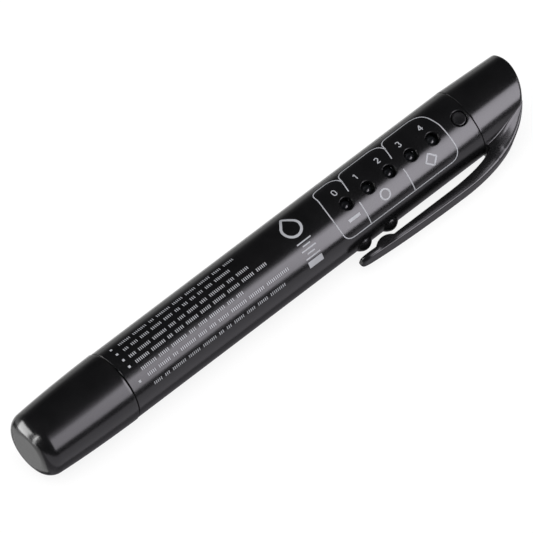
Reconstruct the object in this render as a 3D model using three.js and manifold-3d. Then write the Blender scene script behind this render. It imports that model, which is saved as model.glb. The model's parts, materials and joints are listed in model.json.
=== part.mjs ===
// Pen-shaped brake fluid tester with a pull-off cap over two metal probes, five lamps in a row,
// a push button and an end cap with a moulded spring clip. All lengths are in millimetres.
// In the pen's own frame x runs along the pen from the closed end of the cap, the lamps look
// along +z, and the clip lies clipTurn degrees from them. At the end the pen is laid on a surface,
// where it rests on its round body and on the lower edge of the clip.

import * as THREE from 'three';
import { mergeVertices } from 'three/addons/utils/BufferGeometryUtils.js';
import Module from 'manifold-3d';

const wasm = await Module();
wasm.setup();

// Values that several pieces share
const seatGap = 0.3;            // air between a piece and what it seats on
const cutOverrun = 1;           // how far a cutter passes the face that it cuts
const roundSides = 48;          // facets round the large turned pieces
const smallSides = 16;          // facets round pins and lamps
const holeSides = 24;           // facets round the holes, the button and the battery
const holeBevel = 0.2;          // bevel of the holes for the lamps and the button

// Barrel
const barrelRadius = 9.03;
const barrelLength = 106.95;
const barrelWall = 1.31;
const barrelEdgeBevel = 0.12;
const neckLength = 8.2;
const neckWall = 1.4;
const neckEdgeBevel = 0.4;
const snapBeadHeight = 0.15;
const snapBeadWidth = 1.2;
const snapBeadSetback = 4;      // from the shoulder to the middle of the bead
const shoulderDepth = 2.1;      // from the shoulder back to where the bore starts to widen
const boreConeLength = 1.4;

// Protective cap, its radii measured from the barrel's surface
const capLength = 26.2;
const capMouthStep = 0.17;      // the mouth stands this much proud of the barrel
const capMiddleStep = 0.08;     // and the middle and the end lie this far inside it
const capEndStep = 0.73;
const capCornerRadius = 2.5;
const capMouthBevel = 0.15;
const capBoreStep = 0.93;
const capStraightBore = 10;     // straight part of the bore, from the mouth
const capFloorThickness = 2;
const capFloorBoreStep = 2.33;
const capFloorRound = 1.2;
const capGrooveDepth = 0.2;

// Grip domes on the barrel, with the clip's ridge between them
const gripSetback = 33.35;      // from the barrel's tail to the middle of the pair
const gripDomePitch = 8.1;
const gripDomeChord = 4.6;
const gripDomeHeight = 1.25;
const gripDomeSides = 16;
const ridgeChord = 5.2;
const ridgeHeight = 1.1;
const ridgeShift = 0.5;         // the ridge lies this far off the middle, towards the tip

// Lamps
const ledCount = 5;
const ledPitch = 6.66;
const ledLastSetback = 10.8;    // from the barrel's tail to the last lamp
const ledHoleRadius = 1.6;
const ledDomeRadius = 1.35;
const ledFlangeRadius = 1.7;
const ledFlangeHeight = 0.6;
const ledRecess = 1.15;         // the top of a lamp below the barrel's crown

// Power button and the small switch under it
const buttonSetback = 2.45;     // from the barrel's tail to the button's middle
const buttonHoleRadius = 1.95;
const buttonRadius = 1.7;
const buttonRecess = 0.22;
const buttonDish = 0.12;
const buttonRimWidth = 0.4;
const buttonEdgeBevel = 0.15;
const buttonFlangeRadius = 2.3;
const buttonFlangeHeight = 0.55;
const buttonTravel = 0.3;
const switchLength = 3;
const switchWidth = 3.4;
const switchHeight = 1.1;
const switchBevel = 0.2;
const switchWellRadius = 1.05;
const switchFloor = 0.25;
const plungerRadius = 0.75;
const plungerHeight = 0.8;
const plungerBevel = 0.12;
const plungerFloorGap = 0.12;   // air left under the plunger at the end of its travel

// Circuit board and what is soldered to it
const boardSideRoom = 2.12;     // from the bore's widest line in to the board's long edge
const boardThickness = 1;
const boardLift = 0.32;         // air between the battery and the board above it
const boardFrontGap = 0.7;      // the board's front edge ahead of the battery's tip
const boardTailGap = 0.3;       // the board's back edge ahead of the barrel's tail
const boardCorner = 0.8;
const railThickness = 0.8;
const railTopThickness = 0.6;
const railOverlap = 0.7;        // how far a rail reaches over the board's edge
const chipLength = 3;
const chipWidth = 3;
const chipHeight = 1;
const chipBevel = 0.12;
const chipSpan = 4.9;           // across the tips of the legs
const chipLegs = 4;             // on each side
const chipLegPitch = 0.65;
const chipLegWidth = 0.3;
const chipLegThickness = 0.25;
const chipSetback = 3.86;       // from the first lamp forward to the chip's middle
const boardFrontMargin = 6.7;   // least length of board ahead of the first lamp
const resistorLength = 1.6;
const resistorWidth = 0.8;
const resistorHeight = 0.45;
const capacitorLength = 2;
const capacitorWidth = 1.25;
const capacitorHeight = 0.9;
const capacitorSetback = 4.15;  // from the button's middle forward to the capacitor's middle
const endTinShare = 0.22;       // tinned end of a resistor or capacitor, as a share of its length
const endTinThickness = 0.06;

// Battery, one AAA cell, and its two contacts
const batterySideRoom = 2.47;   // the bore's radius less the cell's
const batteryLength = 44.5;
const batteryNubRadius = 1.9;
const batteryNubHeight = 0.8;
const batteryEdgeRound = 0.4;
const batteryRearInset = 1.05;  // the flat end's radius less than the cell's
const batteryRearStep = 0.2;
const batteryStandOut = 1;      // how far the cell stands out of the barrel's tail
const stopThickness = 1.4;
const stopHeight = 3.22;        // how far the stop stands in from the bore
const contactThickness = 0.4;
const positiveContactShare = 0.907; // width as a share of the bore's radius
const positiveContactRoomShare = 0.3135; // and the room under its lower edge
const positiveContactCorner = 1;
const positiveDimpleRadius = 1.2;
const positiveDimpleDepth = 0.2;
const stripWidth = 1.2;
const stripThickness = 0.35;
const stripReach = 4.2;         // how far the strip runs in under the board
const springWireRadius = 0.3;
const springLargeShare = 0.686; // radii of the coil's two ends as shares of the battery's
const springSmallShare = 0.381;
const springTurns = 4.5;
const springStepsPerTurn = 8;
const springSides = 5;

// Probes, their holder and their wires
const probeRadius = 1;
const probeSpacingShare = 0.9375; // of the neck's bore radius
const probeTipX = 7.2;
const probeTipRound = 0.7;
const probeCollarRadius = 1.6;
const probeCollarLength = 0.9;
const probeTailLength = 1;
const holderFlangeStep = 0.4;   // the flange's edge lies this far inside the neck's outside
const holderFlangeThickness = 1.5;
const holderFlangeBevel = 0.3;
const holderBossInset = 1.2;    // from the neck's bore in to the foot of the boss
const holderBossTopInset = 1.8;
const holderBossHeight = 1.8;
const holderSpigotLength = 7;
const wireRadius = 0.6;
const wireSides = 8;
const wireSteps = 20;
const wireLanding = 1.1;        // how far a wire lies on the board
const wireRailGap = 0.35;
const wireSagShare = 0.3;       // sag below the axis, as a share of the bore's radius

// End cap with its moulded clip
const endLength = 16.7;
const endTopStep = 0.78;        // the top's radius less than the barrel's
const endTopRound = 0.6;
const endWall = 1.5;
const contactShelfDepth = 8.25; // from the mouth to the shelf that the contact rests on
const corePocketWall = 3.53;
const corePocketFloor = 1.6;
const tongueReach = 6;          // how far the two tongues run into the barrel
const tongueWall = 1.12;
const tongueDrop = 0.63;        // the tongues reach this far below the battery's middle
const tongueRoot = 4.25;        // how far a tongue runs back along the end cap's wall
const clipTurn = 86;            // degrees round the pen from the lamps to the clip
const clipLength = 58.45;       // from the tip to the top of the end cap
const clipWidth = 6;
const clipTipWidth = 4.2;
const clipTaperLength = 11;     // the blade narrows over this length at its tip
const clipChamfer = 0.4;
const clipCrownRise = 5.02;     // from the barrel's surface to the clip's outside at its highest
const clipCrownSetback = 26.7;  // from the top of the end cap to that highest place
const clipCrownHandle = 17;     // length of the curve's handle towards the tip
const clipTipRise = 3.67;
const clipTipCorner = 1.2;      // corner of the tip in plan
const clipTipRound = 0.4;       // rounding of the tip's thickness
const clipInnerRise = 2.7;      // from the barrel's surface to the clip's flat inner face
const backHandle = 20.2;        // handle of the back curve where it leaves the clip
const topHandle = 13.8;         // handle of the back curve where it meets the top
const topHandleStep = 0.83;     // the back curve ends this far inside the barrel's far surface
const crotchRise = 1.27;
const crotchCurveLength = 14.75;
const crotchHandle = 5.25;
const crotchRound = 0.4;
const rootDepthReach = 2;       // the clip's root goes this near to the axis inside the end cap
const flareLength = 13.8;
const flareStart = 0.75;        // the flare starts this far before the end cap's mouth
const flareStep = 2.83;         // the flare's half width less than the barrel's radius
const flareRunShares = [0.31, 0.67];
const flareRiseShares = [0, 0.44];
const backSteps = 26;           // straight steps along each curve of the end cap
const tipSteps = 4;
const ridgeSteps = 8;
const bladeSteps = 2;
const crotchSteps = 7;

// Radii and widths that follow the barrel
const barrelBoreRadius = barrelRadius - barrelWall;
const barrelMiddleRadius = (barrelRadius + barrelBoreRadius) / 2;
const capMouthRadius = barrelRadius + capMouthStep;
const capMiddleRadius = barrelRadius - capMiddleStep;
const capEndRadius = barrelRadius - capEndStep;
const capBoreRadius = barrelRadius - capBoreStep;
const capFloorBoreRadius = barrelRadius - capFloorBoreStep;
const neckRadius = capBoreRadius - seatGap;
const neckBoreRadius = neckRadius - neckWall;
const probeSpacing = probeSpacingShare * neckBoreRadius;
const batteryRadius = barrelBoreRadius - batterySideRoom;
const boardWidth = 2 * (barrelBoreRadius - boardSideRoom);
const endTopRadius = barrelRadius - endTopStep;
const clipCrownReach = barrelRadius + clipCrownRise;
const clipTipReach = barrelRadius + clipTipRise;
const clipInnerReach = barrelRadius + clipInnerRise;
const crotchReach = barrelRadius + crotchRise;
const topHandleDrop = barrelRadius - topHandleStep;
const flareHalfWidth = barrelRadius - flareStep;

// Places along the pen, worked out from the sizes above
const barrelFrontX = capLength + seatGap;
const barrelTailX = barrelFrontX + barrelLength;
const neckFrontX = barrelFrontX - neckLength;
const snapBeadX = barrelFrontX - snapBeadSetback;
const gripX = barrelTailX - gripSetback;
const ridgeX = gripX - ridgeShift;
const buttonX = barrelTailX - buttonSetback;
const ledLastX = barrelTailX - ledLastSetback;
const ledFirstX = ledLastX - (ledCount - 1) * ledPitch;
const chipX = ledFirstX - chipSetback;
const endMouthX = barrelTailX + seatGap;
const endTopX = endMouthX + endLength;
const batteryRearX = barrelTailX + batteryStandOut;
const batteryTipX = batteryRearX - batteryLength;
const boardFrontX = Math.min(batteryTipX - boardFrontGap, ledFirstX - boardFrontMargin);
const boardTailX = barrelTailX - boardTailGap;
const positiveContactX = batteryTipX - seatGap - contactThickness;
const stopRearX = positiveContactX - seatGap;
const shelfX = endMouthX + contactShelfDepth;
const negativeContactX = shelfX - seatGap - contactThickness;
const holderFrontX = neckFrontX - seatGap - holderFlangeThickness;
const clipTipX = endTopX - clipLength;
const clipCrownX = endTopX - clipCrownSetback;
const crotchStartX = endMouthX - crotchCurveLength;
const flareStartX = endMouthX - flareStart;

// Heights across the pen, measured from its axis towards the lamps
const batteryZ = -(barrelBoreRadius - seatGap - batteryRadius);
const boardBottomZ = batteryZ + batteryRadius + boardLift;
const boardTopZ = boardBottomZ + boardThickness;
const solderZ = boardTopZ + seatGap;
const railBottomZ = boardBottomZ - seatGap - railThickness;
const railInnerY = boardWidth / 2 - railOverlap;
const tongueTop = railBottomZ - seatGap;
const tongueBottom = tongueDrop - batteryZ;
const resistorSideways = (ledFlangeRadius + railInnerY) / 2;
const ledTopZ = barrelRadius - ledRecess;
const plungerBottomZ = solderZ + switchFloor + plungerFloorGap + buttonTravel;
const plungerTopZ = plungerBottomZ + plungerHeight;
const buttonBottomZ = plungerTopZ + seatGap;
const buttonTopZ = barrelRadius - buttonRecess;

const degree = Math.PI / 180;

// Solids for cutting and joining
function solidOf(geometry) {
  const bare = geometry.clone();
  bare.deleteAttribute('normal');
  bare.deleteAttribute('uv');
  const merged = mergeVertices(bare);
  const vertProperties = new Float32Array(merged.attributes.position.array);
  const triVerts = new Uint32Array(merged.index.array);
  return new wasm.Manifold(new wasm.Mesh({ numProp: 3, vertProperties, triVerts }));
}

function geometryOf(solid) {
  const mesh = solid.getMesh();
  const geometry = new THREE.BufferGeometry();
  geometry.setAttribute('position', new THREE.BufferAttribute(mesh.vertProperties, mesh.numProp));
  geometry.setIndex(new THREE.BufferAttribute(mesh.triVerts, 1));
  geometry.computeVertexNormals();
  return geometry;
}

// A revolve about the pen's axis; each point of the outline is [x, radius]
function turned(outline, sides = roundSides) {
  const points = outline.map(([x, radius]) => new THREE.Vector2(radius, x));
  return new THREE.LatheGeometry(points, sides).rotateZ(-Math.PI / 2);
}

// A revolve about an upright line through (x, y); each point is [radius, z]
function turnedUpright(outline, x, y = 0, sides = smallSides) {
  const points = outline.map(([radius, z]) => new THREE.Vector2(radius, z));
  return new THREE.LatheGeometry(points, sides).rotateX(Math.PI / 2).translate(x, y, 0);
}

// A box between two corners
function block([x0, y0, z0], [x1, y1, z1]) {
  const box = new THREE.BoxGeometry(x1 - x0, y1 - y0, z1 - z0);
  return box.translate((x0 + x1) / 2, (y0 + y1) / 2, (z0 + z1) / 2);
}

// An outline in x and z, given a width across y, centred on the axis
function slabAcross(shape, width) {
  const slab = new THREE.ExtrudeGeometry(shape, { depth: width, bevelEnabled: false });
  return slab.rotateX(Math.PI / 2).translate(0, width / 2, 0);
}

// A rectangle with equal cut corners, as a shape centred on a point
function bevelledRectangle(x, y, length, width, corner) {
  const shape = new THREE.Shape();
  const [x0, x1, y0, y1] = [x - length / 2, x + length / 2, y - width / 2, y + width / 2];
  shape.moveTo(x0 + corner, y0);
  shape.lineTo(x1 - corner, y0);
  shape.lineTo(x1, y0 + corner);
  shape.lineTo(x1, y1 - corner);
  shape.lineTo(x1 - corner, y1);
  shape.lineTo(x0 + corner, y1);
  shape.lineTo(x0, y1 - corner);
  shape.lineTo(x0, y0 + corner);
  shape.closePath();
  return shape;
}

// A flat block with cut corners, standing on the height z
function bevelledPlate(x, y, z, length, width, height, corner) {
  const shape = bevelledRectangle(x, y, length, width, corner);
  return new THREE.ExtrudeGeometry(shape, { depth: height, bevelEnabled: false }).translate(0, 0, z);
}

// Points along an arc of an outline, from one angle to another
function arcPoints(x, y, radius, fromAngle, toAngle, steps) {
  const points = [];
  for (let i = 0; i <= steps; i += 1) {
    const angle = (fromAngle + ((toAngle - fromAngle) * i) / steps) * degree;
    points.push([x + radius * Math.cos(angle), y + radius * Math.sin(angle)]);
  }
  return points;
}

// Height of a line through points at a given x, for points whose x runs one way
function heightOn(points, x) {
  const sorted = points[0].x < points[points.length - 1].x ? points : [...points].reverse();
  const after = Math.max(1, sorted.findIndex((point) => point.x >= x));
  const [a, b] = [sorted[after - 1], sorted[after]];
  return a.y + ((b.y - a.y) * (x - a.x)) / (b.x - a.x);
}

// A closed skin over rings of equal point count, with flat ends
function loft(rings) {
  const count = rings[0].length;
  const positions = rings.flat(2);
  const index = [];
  for (let r = 0; r + 1 < rings.length; r += 1) {
    for (let i = 0; i < count; i += 1) {
      const a = r * count + i;
      const b = r * count + ((i + 1) % count);
      index.push(a, b, a + count, b, b + count, a + count);
    }
  }
  const last = (rings.length - 1) * count;
  for (let i = 1; i + 1 < count; i += 1) {
    index.push(0, i + 1, i);
    index.push(last, last + i, last + i + 1);
  }
  const geometry = new THREE.BufferGeometry();
  geometry.setAttribute('position', new THREE.Float32BufferAttribute(positions, 3));
  geometry.setIndex(index);
  geometry.computeVertexNormals();
  return geometry;
}

function finish(color, roughness, metalness = 0) {
  return new THREE.MeshStandardMaterial({ color, roughness, metalness });
}

function piece(name, geometry, material) {
  const mesh = new THREE.Mesh(geometry, material);
  mesh.name = name;
  return mesh;
}

const blackPlastic = () => finish(0x1b1b1d, 0.38);
const greyPlastic = () => finish(0x2c2d30, 0.5);
const nickel = () => finish(0xb9bbbd, 0.28, 1);

// Protective cap: a tapered thimble with a round corner, a flat end and a groove for the snap bead
function makeCap() {
  const corner = arcPoints(capCornerRadius, capEndRadius - capCornerRadius, capCornerRadius, 180, 90, 5);
  const taper = new THREE.QuadraticBezierCurve(
    new THREE.Vector2(capCornerRadius, capEndRadius),
    new THREE.Vector2(capLength / 2, capMiddleRadius),
    new THREE.Vector2(capLength - capMouthBevel, capMouthRadius),
  ).getPoints(4).slice(1).map((point) => [point.x, point.y]);
  const grooveHalf = snapBeadWidth / 2 + seatGap;
  const boreEndX = capLength - capStraightBore;
  const floorCorner = arcPoints(
    capFloorThickness + capFloorRound, capFloorBoreRadius - capFloorRound, capFloorRound, 90, 180, 3,
  );
  return turned([
    [0, 0],
    ...corner,
    ...taper,
    [capLength, capMouthRadius - capMouthBevel],
    [capLength, capBoreRadius],
    [snapBeadX + grooveHalf, capBoreRadius],
    [snapBeadX, capBoreRadius + capGrooveDepth],
    [snapBeadX - grooveHalf, capBoreRadius],
    [boreEndX, capBoreRadius],
    ...floorCorner,
    [capFloorThickness, 0],
  ]);
}

// Barrel: tube with a snap neck, lamp and button holes, grip domes, board rails and a battery stop
function makeBarrel() {
  const beadHalf = snapBeadWidth / 2;
  const outside = solidOf(turned([
    [neckFrontX, 0],
    [neckFrontX, neckRadius - neckEdgeBevel],
    [neckFrontX + neckEdgeBevel, neckRadius],
    [snapBeadX - beadHalf, neckRadius],
    [snapBeadX, neckRadius + snapBeadHeight],
    [snapBeadX + beadHalf, neckRadius],
    [barrelFrontX, neckRadius],
    [barrelFrontX, barrelRadius - barrelEdgeBevel],
    [barrelFrontX + barrelEdgeBevel, barrelRadius],
    [barrelTailX - barrelEdgeBevel, barrelRadius],
    [barrelTailX, barrelRadius - barrelEdgeBevel],
    [barrelTailX, 0],
  ]));
  const coneStartX = barrelFrontX + shoulderDepth;
  const bore = solidOf(turned([
    [neckFrontX - cutOverrun, 0],
    [neckFrontX - cutOverrun, neckBoreRadius],
    [coneStartX, neckBoreRadius],
    [coneStartX + boreConeLength, barrelBoreRadius],
    [barrelTailX + cutOverrun, barrelBoreRadius],
    [barrelTailX + cutOverrun, 0],
  ]));
  let barrel = outside;
  for (const side of [-1, 1]) barrel = barrel.add(gripDome(gripX + (side * gripDomePitch) / 2));
  barrel = barrel.subtract(bore).add(boardRails()).add(batteryStop());
  for (let i = 0; i < ledCount; i += 1) barrel = barrel.subtract(roundHole(ledX(i), ledHoleRadius));
  return geometryOf(barrel.subtract(roundHole(buttonX, buttonHoleRadius)));
}

function ledX(i) {
  return ledFirstX + i * ledPitch;
}

// A round dome on the side that faces the clip
function gripDome(x) {
  const half = gripDomeChord / 2;
  const radius = (half * half + gripDomeHeight * gripDomeHeight) / (2 * gripDomeHeight);
  const dome = new THREE.SphereGeometry(radius, gripDomeSides, gripDomeSides / 2);
  dome.rotateX(Math.PI / 2).translate(x, 0, barrelRadius + gripDomeHeight - radius);
  return solidOf(dome.rotateX(clipTurn * degree));
}

// A hole through the top wall with a bevelled edge
function roundHole(x, radius) {
  const top = barrelRadius + cutOverrun;
  return solidOf(turnedUpright([
    [0, boardTopZ],
    [radius, boardTopZ],
    [radius, barrelRadius - holeBevel],
    [radius + holeBevel + cutOverrun, top],
    [0, top],
  ], x, 0, holeSides));
}

// Two slots for the board: a rail under and a rail over each long edge
function boardRails() {
  const inWall = solidOf(turned([
    [boardFrontX, 0], [boardFrontX, barrelMiddleRadius], [boardTailX, barrelMiddleRadius], [boardTailX, 0],
  ]));
  const upperZ = boardTopZ + seatGap;
  const levels = [[railBottomZ, railBottomZ + railThickness], [upperZ, upperZ + railTopThickness]];
  const rails = [];
  for (const side of [-1, 1]) {
    for (const [low, high] of levels) {
      const inner = side * railInnerY;
      const outer = side * barrelRadius;
      rails.push(solidOf(block(
        [boardFrontX, Math.min(inner, outer), low], [boardTailX, Math.max(inner, outer), high],
      )));
    }
  }
  return rails.reduce((all, rail) => all.add(rail)).intersect(inWall);
}

// A half ring under the board that stops the positive contact and the battery
function batteryStop() {
  const front = stopRearX - stopThickness;
  const inner = barrelBoreRadius - stopHeight;
  const ring = solidOf(turned([
    [front, inner], [front, barrelMiddleRadius], [stopRearX, barrelMiddleRadius],
    [stopRearX, inner], [front, inner],
  ]));
  const lower = solidOf(block(
    [front - cutOverrun, -barrelRadius, -barrelRadius], [stopRearX + cutOverrun, barrelRadius, railBottomZ],
  ));
  return ring.intersect(lower);
}

// Holder: an insulating plug that closes the neck and carries the two probes
function makeProbeHolder() {
  const backX = neckFrontX + holderSpigotLength;
  const flangeBackX = holderFrontX + holderFlangeThickness;
  const bossX = holderFrontX - holderBossHeight;
  const flangeRadius = neckRadius - holderFlangeStep;
  let holder = solidOf(turned([
    [bossX, 0],
    [bossX, neckBoreRadius - holderBossTopInset],
    [holderFrontX, neckBoreRadius - holderBossInset],
    [holderFrontX, flangeRadius - holderFlangeBevel],
    [holderFrontX + holderFlangeBevel, flangeRadius],
    [flangeBackX, flangeRadius],
    [flangeBackX, neckBoreRadius - seatGap],
    [backX, neckBoreRadius - seatGap],
    [backX, 0],
  ]));
  for (const side of [-1, 1]) {
    const radius = probeRadius + seatGap;
    const hole = turned([
      [bossX - cutOverrun, 0], [bossX - cutOverrun, radius], [backX + cutOverrun, radius],
      [backX + cutOverrun, 0],
    ], smallSides);
    holder = holder.subtract(solidOf(hole.translate(0, (side * probeSpacing) / 2, 0)));
  }
  return geometryOf(holder);
}

// Probe: a plated pin with a round tip, a collar behind the holder and a tail for its wire
function makeProbe(side) {
  const collarX = neckFrontX + holderSpigotLength + seatGap;
  const tailX = collarX + probeCollarLength;
  const tip = arcPoints(
    probeTipX + probeTipRound, probeRadius - probeTipRound, probeTipRound, 180, 90, 4,
  );
  return turned([
    [probeTipX, 0],
    ...tip,
    [collarX, probeRadius],
    [collarX, probeCollarRadius],
    [tailX, probeCollarRadius],
    [tailX, probeRadius],
    [tailX + probeTailLength, probeRadius],
    [tailX + probeTailLength, 0],
  ], smallSides).translate(0, (side * probeSpacing) / 2, 0);
}

// Wire from a probe's tail along the barrel to the front of the board
function makeWire(side) {
  const startX = neckFrontX + holderSpigotLength + seatGap + probeCollarLength + probeTailLength + seatGap;
  const startY = (side * probeSpacing) / 2;
  const landY = side * (railInnerY - wireRailGap - wireRadius);
  const landZ = solderZ + wireRadius;
  const run = boardFrontX - startX;
  const sagZ = -wireSagShare * barrelBoreRadius;
  const route = new THREE.CatmullRomCurve3([
    new THREE.Vector3(startX, startY, 0),
    new THREE.Vector3(startX + 4 * wireRadius, startY, 0),
    new THREE.Vector3(startX + run / 3, startY, sagZ),
    new THREE.Vector3(startX + (2 * run) / 3, startY, sagZ / 2),
    new THREE.Vector3(boardFrontX - 4 * wireRadius, landY, landZ),
    new THREE.Vector3(boardFrontX + wireLanding, landY, landZ),
  ]);
  return tubeAlong(route, wireRadius, wireSides, wireSteps);
}

// A round section carried along a curve
function tubeAlong(path, radius, sides, steps) {
  const section = new THREE.Shape();
  for (let i = 0; i < sides; i += 1) {
    const angle = (2 * Math.PI * i) / sides;
    const [x, y] = [radius * Math.cos(angle), radius * Math.sin(angle)];
    if (i === 0) section.moveTo(x, y);
    else section.lineTo(x, y);
  }
  section.closePath();
  return new THREE.ExtrudeGeometry(section, { steps, bevelEnabled: false, extrudePath: path });
}

// Circuit board with cut corners, held by the rails
function makeBoard() {
  const length = boardTailX - boardFrontX;
  const middleX = boardFrontX + length / 2;
  return bevelledPlate(middleX, 0, boardBottomZ, length, boardWidth, boardThickness, boardCorner);
}

// Lamp: a short light-emitting diode with a flange, a round body and a domed lens
function makeLed(i) {
  const flangeTop = solderZ + ledFlangeHeight;
  const dome = arcPoints(0, ledTopZ - ledDomeRadius, ledDomeRadius, 0, 90, 4);
  return turnedUpright([
    [0, solderZ],
    [ledFlangeRadius, solderZ],
    [ledFlangeRadius, flangeTop],
    [ledDomeRadius, flangeTop],
    ...dome.slice(0, -1),
    [0, ledTopZ],
  ], ledX(i));
}

// A two-ended surface part: a body with slightly larger tinned ends
function makeTwoEnded(x, y, length, width, height) {
  const tin = endTinShare * length;
  const foot = solderZ + endTinThickness;
  let part = solidOf(block(
    [x - length / 2 + tin, y - width / 2, foot], [x + length / 2 - tin, y + width / 2, foot + height],
  ));
  for (const side of [-1, 1]) {
    const outer = x + (side * length) / 2;
    const inner = outer - side * (tin + endTinThickness);
    part = part.add(solidOf(block(
      [Math.min(outer, inner), y - width / 2 - endTinThickness, solderZ],
      [Math.max(outer, inner), y + width / 2 + endTinThickness, foot + height + endTinThickness],
    )));
  }
  return geometryOf(part);
}

function makeResistor(i) {
  return makeTwoEnded(ledX(i), -resistorSideways, resistorLength, resistorWidth, resistorHeight);
}

function makeCapacitor() {
  return makeTwoEnded(buttonX - capacitorSetback, 0, capacitorLength, capacitorWidth, capacitorHeight);
}

// Controller chip: a flat body with a row of bent legs on each side
function makeChip() {
  const bodyZ = solderZ + chipLegThickness / 2;
  let chip = solidOf(bevelledPlate(chipX, 0, bodyZ, chipLength, chipWidth, chipHeight, chipBevel));
  const legTop = bodyZ + chipHeight / 2;
  for (const side of [-1, 1]) {
    for (let i = 0; i < chipLegs; i += 1) {
      const legX = chipX + (i - (chipLegs - 1) / 2) * chipLegPitch;
      const tip = (side * chipSpan) / 2;
      const knee = (side * (chipSpan + chipWidth)) / 4;
      const inside = side * (chipWidth / 2 - chipBevel);
      const spans = [
        [inside, knee, legTop - chipLegThickness, legTop],
        [knee - side * chipLegThickness, knee, solderZ, legTop],
        [knee - side * chipLegThickness, tip, solderZ, solderZ + chipLegThickness],
      ];
      for (const [from, to, low, high] of spans) {
        chip = chip.add(solidOf(block(
          [legX - chipLegWidth / 2, Math.min(from, to), low],
          [legX + chipLegWidth / 2, Math.max(from, to), high],
        )));
      }
    }
  }
  return geometryOf(chip);
}

// Switch body: a flat block with a round well for its plunger
function makeSwitchBody() {
  const plate = bevelledPlate(buttonX, 0, solderZ, switchLength, switchWidth, switchHeight, switchBevel);
  const wellFloor = solderZ + switchFloor;
  const top = solderZ + switchHeight + cutOverrun;
  const well = turnedUpright([
    [0, wellFloor], [switchWellRadius, wellFloor], [switchWellRadius, top], [0, top],
  ], buttonX);
  return geometryOf(solidOf(plate).subtract(solidOf(well)));
}

function makePlunger() {
  return turnedUpright([
    [0, plungerBottomZ],
    [plungerRadius, plungerBottomZ],
    [plungerRadius, plungerTopZ - plungerBevel],
    [plungerRadius - plungerBevel, plungerTopZ],
    [0, plungerTopZ],
  ], buttonX);
}

// Button: a dished cap with a flange that keeps it inside the barrel
function makeButton() {
  const flangeTop = buttonBottomZ + buttonFlangeHeight;
  const rimInner = buttonRadius - buttonRimWidth;
  return turnedUpright([
    [0, buttonBottomZ],
    [buttonFlangeRadius, buttonBottomZ],
    [buttonFlangeRadius, flangeTop],
    [buttonRadius, flangeTop],
    [buttonRadius, buttonTopZ - buttonEdgeBevel],
    [buttonRadius - buttonEdgeBevel, buttonTopZ],
    [rimInner, buttonTopZ],
    [rimInner - buttonEdgeBevel, buttonTopZ - buttonDish],
    [0, buttonTopZ - buttonDish],
  ], buttonX, 0, holeSides);
}

// Battery: one AAA cell, with its nub towards the probes
function makeBattery() {
  const shoulderX = batteryTipX + batteryNubHeight;
  const front = arcPoints(
    shoulderX + batteryEdgeRound, batteryRadius - batteryEdgeRound, batteryEdgeRound, 180, 90, 3,
  );
  const rearRadius = batteryRadius - batteryRearInset;
  const back = arcPoints(
    batteryRearX - batteryRearStep - batteryEdgeRound, batteryRadius - batteryEdgeRound,
    batteryEdgeRound, 90, 0, 3,
  );
  return turned([
    [batteryTipX, 0],
    [batteryTipX, batteryNubRadius],
    [shoulderX, batteryNubRadius],
    ...front,
    ...back,
    [batteryRearX - batteryRearStep, rearRadius],
    [batteryRearX, rearRadius - batteryRearStep],
    [batteryRearX, 0],
  ], holeSides).translate(0, 0, batteryZ);
}

// Positive contact: a plate under the board's front edge with a dimple for the battery's nub
function makePositiveContact() {
  const top = boardBottomZ - seatGap;
  const drop = top + (1 - positiveContactRoomShare) * barrelBoreRadius;
  const width = positiveContactShare * barrelBoreRadius;
  const shape = bevelledRectangle(top - drop / 2, 0, drop, width, positiveContactCorner);
  const plate = new THREE.ExtrudeGeometry(shape, { depth: contactThickness, bevelEnabled: false });
  plate.rotateY(-Math.PI / 2).translate(positiveContactX + contactThickness, 0, 0);
  const dimpleX = positiveContactX + contactThickness + positiveDimpleDepth;
  const dimple = turned([
    [positiveContactX, 0], [positiveContactX, positiveDimpleRadius],
    [dimpleX - positiveDimpleDepth, positiveDimpleRadius],
    [dimpleX, positiveDimpleRadius / 2], [dimpleX, 0],
  ], smallSides).translate(0, 0, batteryZ);
  return geometryOf(solidOf(plate).add(solidOf(dimple)));
}

// Negative contact: a disc on the end cap's shelf with a strip that reaches in under the board
function makeNegativeContact() {
  const radius = barrelRadius - endWall - seatGap;
  const disc = solidOf(turned([
    [negativeContactX, 0],
    [negativeContactX, radius],
    [negativeContactX + contactThickness, radius],
    [negativeContactX + contactThickness, 0],
  ]));
  const stripTop = boardBottomZ - seatGap;
  const stripOuter = railInnerY - seatGap;
  const strip = solidOf(block(
    [boardTailX - stripReach, stripOuter - stripWidth, stripTop - stripThickness],
    [negativeContactX + contactThickness / 2, stripOuter, stripTop],
  ));
  return geometryOf(disc.add(strip));
}

// Contact spring: one conical coil from the negative contact down to the battery's flat end
class ConicalCoil extends THREE.Curve {
  constructor(fromX, toX) {
    super();
    this.fromX = fromX;
    this.toX = toX;
  }

  getPoint(share, target = new THREE.Vector3()) {
    const angle = 2 * Math.PI * springTurns * share;
    const span = springLargeShare - springSmallShare;
    const radius = batteryRadius * (springSmallShare + span * share);
    const x = this.fromX + (this.toX - this.fromX) * share;
    return target.set(x, radius * Math.cos(angle), batteryZ + radius * Math.sin(angle));
  }
}

function makeSpring() {
  const coil = new ConicalCoil(
    batteryRearX + seatGap + springWireRadius, negativeContactX - seatGap - springWireRadius,
  );
  const steps = Math.round(springTurns * springStepsPerTurn);
  console.log(`contact spring, least gap to itself: ${leastGap(coil, steps).toFixed(2)} mm`);
  return tubeAlong(coil, springWireRadius, springSides, steps);
}

// Least air between points of a coil that are half a turn or more apart along it
function leastGap(coil, steps) {
  const points = coil.getPoints(4 * steps);
  const apart = 2 * springStepsPerTurn;
  let least = Infinity;
  points.forEach((point, i) => {
    for (let j = i + apart; j < points.length; j += 1) {
      least = Math.min(least, point.distanceTo(points[j]));
    }
  });
  return least - 2 * springWireRadius;
}

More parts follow.
